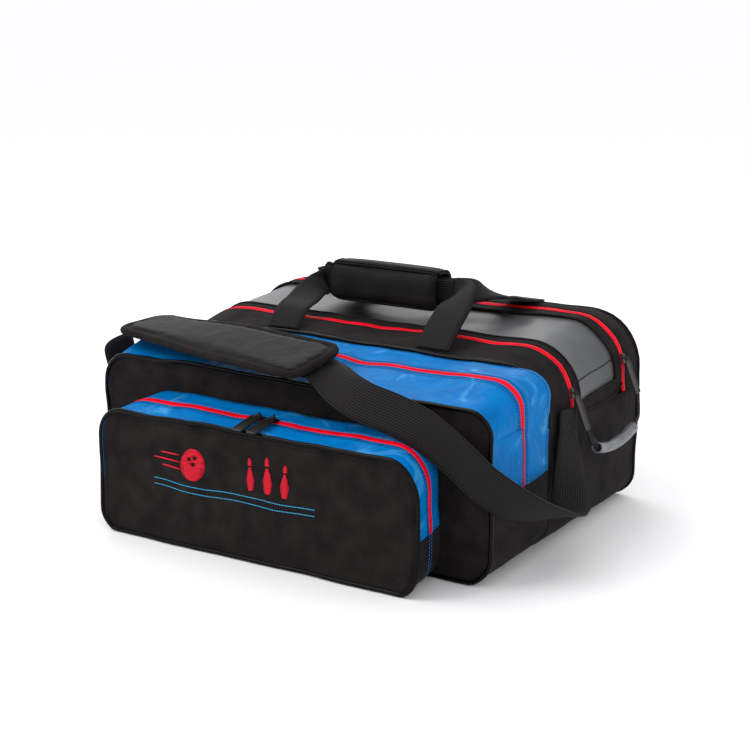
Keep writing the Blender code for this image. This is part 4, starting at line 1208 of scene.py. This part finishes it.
rear_loop = [
    ((-0.105, 0.2140, 0.2450), (-1, 0, 0), FULL),
    ((-0.106, 0.190, 0.2500), (-1, 0, 0), FULL),
    ((-0.111, 0.160, 0.261), (-1, -0.05, -0.05), FULL),
    ((-0.117, 0.132, 0.271), (-0.9, -0.1, -0.35), SOFT),
    ((-0.114, 0.113, 0.270), (-0.5, -0.4, -0.75), 0.034),
    ((-0.100, 0.108, 0.268), (0, 0, -1), GRIPPED),
    ((0.062, 0.108, 0.268), (0, 0, -1), GRIPPED),
    ((0.080, 0.112, 0.268), (0.5, -0.3, -0.75), 0.034),
    ((0.104, 0.132, 0.266), (0.9, -0.2, -0.35), SOFT),
    ((0.117, 0.160, 0.256), (1, 0, -0.05), FULL),
    ((0.121, 0.190, 0.2480), (1, 0, 0), FULL),
    ((0.122, 0.2140, 0.2445), (1, 0, 0), FULL),
]
STRAP_STITCH = {"Pitch": 0.0038, "Length": 0.0030, "Width": 0.0009, "Height": 0.0006, "Wobble": 0.05}
for side, stations in (("front", front_loop), ("rear", rear_loop)):
    made, lines = strap(side + "_handle_strap", stations, WEBBING)
    fit(made, webbing, side + "_handle", (side + "_handle_webbing",))
    sew(side + "_handle_stitch", lines, STRAP_STITCH, black_thread, side + "_handle")

# %% The shoulder pad's place
PAD_LENGTH, PAD_WIDTH, PAD_THICK, PAD_CORNER = 0.315, 0.080, 0.011, 0.022
# in degrees: how the pad is turned on the bag, how far it rolls forward, and how much less at its left end
PAD_YAW, PAD_ROLL, PAD_UNROLL = -10.5, 15.0, 12.0
PAD_DROOP, PAD_CLEARANCE = 0.002, 0.002
pad_centre = Vector((-0.104, -0.133, 0.2285))
pad_yaw = Matrix.Rotation(math.radians(PAD_YAW), 3, "Z")
pad_turn = pad_yaw @ Matrix.Rotation(math.radians(PAD_ROLL), 3, "X")


def on_pad(x, y, lift):
    """A place on the pad: it lies flatter towards its left end, and that end droops a little."""
    left = ease((0.02 - x) / (PAD_LENGTH / 2))
    roll = Matrix.Rotation(math.radians(PAD_ROLL - PAD_UNROLL * left), 3, "X")
    return pad_centre + pad_yaw @ (Vector((x, 0, -PAD_DROOP * left)) + roll @ Vector((0, y, lift)))


def under_pad(x):
    """A station of the webbing just under the pad, at a place along the pad."""
    drop = PAD_THICK / 2 + WEBBING / 2 + PAD_CLEARANCE
    return (on_pad(x, 0.0, -drop), on_pad(x, 1.0, 0.0) - on_pad(x, 0.0, 0.0), FULL)


print("the webbing passes", round(1000 * (on_pad(0, 0, 0) - under_pad(0)[0]).length, 1), "mm under the pad")

# %% The shoulder strap's path
strap_line = [
    ((-0.2748, 0.0145, 0.165), (0, 1, 0), FULL),
    ((-0.2765, 0.0115, 0.136), (0, 1, 0), FULL),
    ((-0.288, -0.001, 0.108), (0.1, 1, 0), FULL),
    ((-0.306, -0.026, 0.102), (0.2, 1, 0.1), FULL),
    ((-0.316, -0.058, 0.132), (0.2, 1, 0.2), FULL),
    ((-0.311, -0.084, 0.178), (0.2, 1, 0.25), FULL),
    ((-0.298, -0.098, 0.203), (0.18, 0.95, 0.26), FULL),
    under_pad(-0.160),
    under_pad(-0.135),
    under_pad(-0.05),
    under_pad(0.05),
    under_pad(0.135),
    under_pad(0.160),
    ((0.094, -0.1800, 0.2080), (0.3, 0.6, 0.7), FULL),
    ((0.126, -0.1870, 0.199), (0.42, 0.35, 0.85), FULL),
    ((0.165, -0.1860, 0.190), (0.45, 0.3, 0.85), FULL),
    ((0.202, -0.1830, 0.176), (0.49, 0.2, 0.85), FULL),
    ((0.238, -0.1790, 0.152), (0.5, 0.1, 0.86), FULL),
    ((0.270, -0.1740, 0.126), (0.6, 0.1, 0.8), FULL),
    ((0.298, -0.148, 0.099), (0.75, 0.2, 0.6), FULL),
    ((0.309, -0.098, 0.076), (0.9, 0.1, 0.4), FULL),
    ((0.310, -0.054, 0.064), (0.95, 0.2, 0.1), FULL),
    ((0.300, -0.019, 0.073), (0.75, 0.6, -0.1), FULL),
    ((0.286, 0.004, 0.100), (0.3, 0.95, -0.1), FULL),
    ((0.2768, 0.016, 0.134), (0, 1, 0), FULL),
    ((0.2748, 0.020, 0.165), (0, 1, 0), FULL),
]
strap_band, _ = strap("shoulder_strap_band", strap_line, WEBBING)
fit(strap_band, webbing, "shoulder_strap", ("shoulder_webbing",))

# %% The strap's sewn ends
for x, y, face in ((0.2748, 0.019, 1), (-0.2748, 0.014, -1)):
    box_lines = []
    corners = [(y - 0.018, 0.161), (y + 0.018, 0.161), (y + 0.016, 0.139), (y - 0.020, 0.139)]
    for a, b in ((0, 1), (1, 2), (2, 3), (3, 0), (0, 2), (1, 3)):
        # the webbing leans out a little towards its lower end, and the stitches stay on its face
        ends = [
            Vector((x + face * (0.0016 + 0.0018 * (0.165 - z) / 0.03), v, z))
            for v, z in (corners[a], corners[b])
        ]
        box_lines.append((ends, [Vector((face, 0, 0))] * 2))
    side = "right" if face > 0 else "left"
    sew(side + "_anchor_stitch", box_lines, STRAP_STITCH, black_thread, "shoulder_strap")

# %% [markdown]
# ## Padded pieces
# The shoulder pad and the grip are foam wrapped in knitted cloth. Each starts as a copy of its solid,
# remeshed into even cells, and the cloth solver blows it up a little with a cap on how far a point may
# go. Seams and bindings come after, because the remesh would rub them out.


# %% Puffing a foam-filled piece
PUFF_FRAMES = 20


def foam_copy(node, name, voxel):
    """An evenly meshed copy of one of the frame's solids."""
    bm = bmesh.new()
    bm.from_mesh(frame["nodes"][node].data)
    bmesh.ops.remove_doubles(bm, verts=bm.verts, dist=0.00001)
    mesh = bpy.data.meshes.new(name + "_source")
    bm.to_mesh(mesh)
    bm.free()
    copy = bpy.data.objects.new(name + "_source", mesh)
    bpy.context.scene.collection.objects.link(copy)
    remesh = copy.modifiers.new("remesh", "REMESH")
    remesh.mode = "VOXEL"
    remesh.voxel_size = voxel
    remesh.use_smooth_shade = True
    evaluated = copy.evaluated_get(bpy.context.evaluated_depsgraph_get())
    made = bpy.data.objects.new(name, bpy.data.meshes.new_from_object(evaluated))
    bpy.data.objects.remove(copy)
    bpy.context.scene.collection.objects.link(made)
    return made


def reshape(obj, place):
    """Move every point of a piece to where a function puts it."""
    for vertex in obj.data.vertices:
        vertex.co = place(vertex.co)
    return obj


def puff(obj, shrink, cap):
    """Blow a piece up with the cloth solver, hold each point within a cap, and smooth the result."""
    for vertex in obj.data.vertices:
        vertex.co -= vertex.normal * shrink
    start = [vertex.co.copy() for vertex in obj.data.vertices]
    cloth = obj.modifiers.new("cloth", "CLOTH")
    cloth.settings.quality = 5
    cloth.settings.use_pressure = True
    cloth.settings.uniform_pressure_force = 4.0
    cloth.settings.effector_weights.gravity = 0.0
    cloth.point_cache.frame_start = 1
    cloth.point_cache.frame_end = PUFF_FRAMES
    for step in range(1, PUFF_FRAMES + 1):
        bpy.context.scene.frame_set(step)
    evaluated = obj.evaluated_get(bpy.context.evaluated_depsgraph_get())
    puffed = [vertex.co.copy() for vertex in evaluated.data.vertices]
    obj.modifiers.remove(cloth)
    bpy.context.scene.frame_set(1)
    for vertex, old, new in zip(obj.data.vertices, start, puffed):
        move = new - old
        vertex.co = old + move * min(1.0, cap / max(move.length, 1e-9))
    obj.data.shade_smooth()
    finer = obj.modifiers.new("finer", "SUBSURF")
    finer.levels = 1
    finer.render_levels = 1
    return obj


# %% The shoulder pad and its binding
def twist_pad(point):
    """From the flat solid to the twisted pad."""
    return on_pad(*(pad_turn.inverted() @ (point - pad_centre)))


pad = puff(reshape(foam_copy("shoulder_pad", "shoulder_pad_foam", 0.004), twist_pad), 0.0012, 0.0030)
fit(pad, pad_cloth, "shoulder_strap", ("shoulder_pad",))


def pad_outline(inset, lift):
    """A rounded rectangle on the pad, inset from its edge and lifted from its middle plane."""
    line = []
    corner = max(PAD_CORNER - inset, 0.004)
    for x, y, start in ((1, 1, 0), (-1, 1, 90), (-1, -1, 180), (1, -1, 270)):
        middle = (x * (PAD_LENGTH / 2 - inset - corner), y * (PAD_WIDTH / 2 - inset - corner))
        line += arc(*middle, corner, start, start + 90)
    closed = line + [line[0]]
    finer_line = []
    for a, b in zip(closed, closed[1:]):
        finer_line += stretch(a, b, max(1, round(math.dist(a, b) / 0.006)))
    return [on_pad(x, y, lift) for x, y in finer_line]


pad_binding = round_bar("shoulder_pad_binding", pad_outline(0.0030, 0.0), 0.0066, 12, True, 0.75)
fit(pad_binding, polyester, "shoulder_strap")
pad_up = pad_turn @ Vector((0, 0, 1))
stitch_line = pad_outline(0.0095, PAD_THICK / 2 + 0.0010)
pad_lines = [(stitch_line + stitch_line[:1], [pad_up] * (len(stitch_line) + 1))]
sew("shoulder_pad_stitch", pad_lines, STRAP_STITCH, black_thread, "shoulder_strap")

# %% The grip
GRIP_LEFT, GRIP_RIGHT, GRIP_AXIS = -0.098, 0.060, (0.102, 0.268)
# over the last GRIP_TAPER of each end the grip narrows by a share of GRIP_SQUEEZE
GRIP_TAPER, GRIP_SQUEEZE = 0.014, 0.13


def soften_ends(point):
    """Draw the grip's two ends in towards its middle line, as on a pillow."""
    near = max(point.x - GRIP_RIGHT, GRIP_LEFT - point.x) + GRIP_TAPER
    keep = 1.0 - GRIP_SQUEEZE * ease(near / GRIP_TAPER) * max(near / GRIP_TAPER, 0.0)
    y, z = GRIP_AXIS
    return Vector((point.x, y + (point.y - y) * keep, z + (point.z - z) * keep))


for node, body in (("grip_wrap", "rear_handle"), ("grip_flap", "grip_flap_body")):
    piece = puff(reshape(foam_copy(node, node + "_foam", 0.0022), soften_ends), 0.0004, 0.0018)
    fit(piece, pad_cloth, body, (node,))


def grip_ring(start, end, steps=28, out=0.0006):
    """Points round the grip's section in (y, z), a little outside it; 0 degrees is the rear."""
    made = []
    for i in range(steps + 1):
        a = math.radians(start + (end - start) * i / steps)
        c, s = math.cos(a), math.sin(a)
        y = GRIP_AXIS[0] + (0.0235 + out) * math.copysign(abs(c) ** 0.65, c)
        made.append((y, GRIP_AXIS[1] + (0.0255 + out) * math.copysign(abs(s) ** 0.65, s)))
    return made


# the bindings sit a little in from the ends, half sunk in the foam's rounded edge
first_x, last_x = GRIP_LEFT + 0.0024, GRIP_RIGHT - 0.0024
for name, body, start, end in (
    ("grip_wrap_binding", "rear_handle", -113, 113),
    ("grip_flap_binding", "grip_flap_body", 124, 236),
):
    ring = grip_ring(start, end)
    line = [Vector((first_x, y, z)) for y, z in ring]
    line += [Vector((first_x + (last_x - first_x) * i / 20, *ring[-1])) for i in range(1, 20)]
    line += [Vector((last_x, y, z)) for y, z in reversed(ring)]
    line += [Vector((last_x + (first_x - last_x) * i / 20, *ring[0])) for i in range(1, 20)]
    line = [soften_ends(point) for point in line]
    fit(round_bar(name, line, 0.0013, 8, True), polyester, body)
print("the grip is", round(GRIP_RIGHT - GRIP_LEFT, 3), "m wide")

# %% The ball cradle and its board
cradle = foam_copy("ball_cradle", "ball_cradle_foam", 0.005)
for vertex in cradle.data.vertices:
    vertex.co -= vertex.normal * 0.0004
cradle.data.shade_smooth()
fit(cradle, finishes["closed_cell_foam"], "bag_body", ("ball_cradle",))
board = frame["nodes"]["base_board"]
board.data.materials.clear()
board.data.materials.append(finishes["pressed_fibreboard"])
print("foam", len(cradle.data.polygons), "faces")

# %% [markdown]
# ## The lid's pull handle
# One loop of narrow webbing runs through a clear hose and joins the two lid pulls, so both zips open with
# one hand. The hose is swept along a shallow curve and welded where its ends meet, then given its wall.

# %% Hose and loop
HOSE_RADIUS, HOSE_WALL, LOOP_WIDTH = 0.0066, 0.0012, 0.0085
hose_low, hose_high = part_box("pull_handle_tube")
hose_x = (hose_low[0] + hose_high[0]) / 2
hose_line = [Vector((hose_x, 0.060 + 0.105 * i / 6, 0.103 + 0.008 * (i / 3 - 1) ** 2)) for i in range(7)]
hose_path = smooth_path([(p, (1, 0, 0), LOOP_WIDTH) for p in hose_line], 5)
hose_rows = []
for i, (place, _, _) in enumerate(hose_path):
    ahead = (hose_path[min(i + 1, len(hose_path) - 1)][0] - hose_path[max(i - 1, 0)][0]).normalized()
    level = Vector((1.0, 0.0, 0.0))
    upward = level.cross(ahead)
    turns = [-2 * math.pi * k / 20 for k in range(21)]
    hose_rows.append([place + HOSE_RADIUS * (math.cos(a) * level + math.sin(a) * upward) for a in turns])
hose = sheet("pull_handle_hose", hose_rows, HOSE_WALL)
weld = hose.modifiers.new("weld", "WELD")
weld.merge_threshold = 0.00002
hose.modifiers.move(1, 0)
fit(hose, finishes["clear_vinyl_hose"], "pull_handle", ("pull_handle_tube",))

print("the hose is", round(sum(math.dist(a, b) for a, b in zip(hose_line, hose_line[1:])), 3), "m long")

# %% The loop through the hose
tips = []
for side in ("front", "rear"):
    low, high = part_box("lid_" + side + "_pull")
    tips.append(Vector((high[0] - 0.0010, (low[1] + high[1]) / 2, low[2])))
loop_stations = [
    (tips[0], (0, 1, 0), LOOP_WIDTH),
    (Vector((hose_x, 0.0435, 0.126)), (0.1, 1, 0.3), LOOP_WIDTH),
    (hose_line[0] + Vector((0, -0.005, 0.006)), (0, 1, 1), LOOP_WIDTH),
    *[(place, (0, 0, 1), LOOP_WIDTH * 0.9) for place in hose_line],
    (hose_line[-1] + Vector((0, 0.006, 0.005)), (0, -1, 1), LOOP_WIDTH),
    (Vector((hose_x, 0.180, 0.124)), (0.1, -1, 0.3), LOOP_WIDTH),
    (tips[1], (0, -1, 0), LOOP_WIDTH),
]
loop, _ = strap("pull_handle_loop", loop_stations, 0.0014, 6, 4)
fit(loop, webbing, "pull_handle", ("pull_handle_webbing",))

# %% [markdown]
# ## Sliders and their pulls
# A slider is a zinc casting under black paint, and its pull hangs from it on a wire ring. The frame's
# sliders are fine enough to be painted as they are. Its pulls are plain bars, so each is replaced by a
# tab with a sunk face. The bar itself says where: its longest direction is the pull's length, found by
# taking apart its points with a singular value decomposition.

# %% Sliders and pulls
# the tab starts PULL_START along the pull, behind the ring that it hangs from
PULL_WIDTH, PULL_START = 0.0140, 0.0042
# the tab from its back to its face, as (how far in from the outline, height over the middle)
PULL_LAYERS = (
    (0.0005, -0.0011), (0.0, -0.0006), (0.0, 0.0006), (0.0005, 0.0011), (0.0016, 0.0011), (0.0020, 0.0004),
)
RING_AT, RING_RADIUS, WIRE_RADIUS = 0.0030, 0.0025, 0.0007


def pull_axes(node):
    """Where a pull starts, its way along, across and out of its face, and its length."""
    spots = {tuple(round(c, 7) for c in vertex.co) for vertex in frame["nodes"][node].data.vertices}
    cloud = np.array(sorted(spots))
    middle = cloud.mean(axis=0)
    along, across, _ = (Vector(axis) for axis in np.linalg.svd(cloud - middle)[2])
    if along.y + along.z > 0:
        along = -along
    out = along.cross(across)
    if out.x + out.z < 0:
        across, out = -across, -out
    reach = (cloud - middle) @ np.array(along)
    start = Vector(middle) + along * float(reach.min())
    return start, along, across, out, float(reach.max() - reach.min())


def tab_outline(length, inset):
    """A pull's outline, round at its tip and narrower at its ring, as (along, across) points."""
    half, corner, neck = PULL_WIDTH / 2 - inset, max(0.0026 - inset, 0.0006), 0.0026 - inset
    end, shoulder = length - inset, PULL_START + 0.0055 + inset * 0.4
    line = [(PULL_START + inset, -neck), (shoulder, -half)]
    line += arc(end - corner, -half + corner, corner, -90, 0, 5)
    line += arc(end - corner, half - corner, corner, 0, 90, 5)
    return line + [(shoulder, half), (PULL_START + inset, neck)]


def zip_pull(name, node, body):
    """A cast pull with a sunk panel on its face, and the wire ring that it hangs from."""
    start, along, across, out, length = pull_axes(node)
    points, faces = [], []
    for inset, height in PULL_LAYERS:
        outline = tab_outline(length, inset)
        points += [start + along * a + across * b + out * height for a, b in outline]
    count = len(outline)
    for j in range(len(PULL_LAYERS) - 1):
        for i in range(count):
            a, b = j * count + i, j * count + (i + 1) % count
            faces.append((a, b, b + count, a + count))
    faces.append(tuple(reversed(range(count))))
    faces.append(tuple(range((len(PULL_LAYERS) - 1) * count, len(PULL_LAYERS) * count)))
    tab = mesh_from(name + "_tab", points, faces)
    bm = bmesh.new()
    bm.from_mesh(tab.data)
    bmesh.ops.recalc_face_normals(bm, faces=bm.faces)
    bm.to_mesh(tab.data)
    bm.free()
    tab.data.set_sharp_from_angle(angle=math.radians(32))
    fit(tab, finishes["painted_zinc_casting"], body, (node,))
    centre = start + along * RING_AT
    turns = [2 * math.pi * k / 20 for k in range(20)]
    wire = [centre + RING_RADIUS * (math.cos(a) * along + math.sin(a) * out) for a in turns]
    ring = round_bar(name + "_ring", wire, WIRE_RADIUS, 8, True)
    fit(ring, finishes["painted_zinc_casting"], body)


print("a pull's tab has", len(PULL_LAYERS), "layers")

# %% Painting the sliders and hanging the pulls
for side in SLIDERS:
    slider = frame["nodes"][side + "_slider"]
    slider.data.materials.clear()
    slider.data.materials.append(finishes["painted_zinc_casting"])
    body = "pull_handle" if side.startswith("lid") else side + "_pull_body"
    zip_pull(side + "_pull", side + "_pull", body)
print("six painted sliders and six pulls")

# %% [markdown]
# ## The embroidered motif
# The front pocket carries a plain picture of the game: a ball rolling at three pins over two lanes of
# running stitch. Satin stitch is many long threads side by side, so each shape is cut into close rows
# and each row becomes one arched thread.

# %% Satin threads
THREAD_PITCH, THREAD_RADIUS = 0.0009, 0.00055
BALL_AT, BALL_SIZE = (-0.078, 0.106), 0.0185
FINGER_HOLE = 0.0024
# a pin's outline: share of its height, and half width as a share of a third of its height
PIN_WIDTHS = (
    (0.0, 0.30), (0.12, 0.42), (0.32, 0.50), (0.52, 0.34),
    (0.68, 0.16), (0.80, 0.24), (0.92, 0.22), (1.0, 0.08),
)


def pin_width(t):
    """A pin's half width at a share of its height."""
    for (t0, w0), (t1, w1) in zip(PIN_WIDTHS, PIN_WIDTHS[1:]):
        if t <= t1:
            return w0 + (w1 - w0) * ease((t - t0) / (t1 - t0))
    return PIN_WIDTHS[-1][1]


def satin(threads):
    """A mesh of arched threads over the front panel, from (left, right, height) rows."""
    points, faces = [], []
    for left, right, z in threads:
        first = len(points)
        for i in range(5):
            x = left + (right - left) * i / 4
            base = slump((x, FRONT, z)) + Vector((0, -0.0005 - 0.0005 * hump(i, 2, 2.4), 0))
            thin = 0.45 if i in (0, 4) else 1.0
            for k in range(5):
                a = 2 * math.pi * k / 5
                points.append(base + THREAD_RADIUS * thin * Vector((0, math.cos(a), math.sin(a))))
        for i in range(4):
            for k in range(5):
                a, b = first + i * 5 + k, first + i * 5 + (k + 1) % 5
                faces.append((b, a, a + 5, b + 5))
        faces.append(tuple(range(first, first + 5)))
        faces.append(tuple(range(first + 24, first + 19, -1)))
    return points, faces


print("threads", 1000 * THREAD_PITCH, "mm apart")

# %% The ball and the pins
red_threads = []
holes = ((-0.005, 0.006), (0.003, 0.008), (0.001, 0.0005))
rows = int(2 * BALL_SIZE / THREAD_PITCH)
for i in range(rows + 1):
    z = -BALL_SIZE + 2 * BALL_SIZE * i / rows
    half = math.sqrt(max(BALL_SIZE**2 - z * z, 0.0))
    wide = {hole: math.sqrt(max(FINGER_HOLE**2 - (z - hole[1]) ** 2, 0.0)) for hole in holes}
    cuts = sorted((hole[0] - cut, hole[0] + cut) for hole, cut in wide.items() if cut > 0)
    at = -half
    for start, end in cuts + [(half, half)]:
        if start - at > 0.0012:
            red_threads.append((BALL_AT[0] + at, BALL_AT[0] + start, BALL_AT[1] + z))
        at = max(at, end)
for x, low, tall in ((0.002, 0.0885, 0.036), (0.027, 0.0885, 0.041), (0.052, 0.0885, 0.036)):
    count = int(tall / THREAD_PITCH)
    for i in range(count + 1):
        half = pin_width(i / count) * tall / 3
        z = low + tall * i / count
        if 0.70 < i / count < 0.76:
            continue
        red_threads.append((x - half, x + half, z))
for i, (left, z) in enumerate(((-0.128, 0.114), (-0.138, 0.106), (-0.125, 0.098))):
    for j in range(2):
        red_threads.append((left, -0.100 + 0.002 * i, z + j * THREAD_PITCH))
motif = mesh_from("embroidered_ball_and_pins", *satin(red_threads))
fit(motif, finishes["red_rayon_thread"], "accessory_flap")
print(len(red_threads), "satin threads")

# %% Two lanes of pale blue stitches
lanes = []
for z in (0.0800, 0.0725):
    line = [slump((-0.135 + 0.225 * i / 40, FRONT, z)) + Vector((0, -0.0004, 0)) for i in range(41)]
    lanes.append((line, [Vector((0, -1, 0))] * len(line)))
LANE = {"Pitch": 0.0034, "Length": 0.0038, "Width": 0.0013, "Height": 0.0008, "Wobble": 0.04}
pale_thread = finishes["pale_blue_rayon_thread"]
sew("embroidered_lanes", lanes, LANE, pale_thread, "bag_body", ACCESSORY_BEND)
print(len(lanes), "lanes")
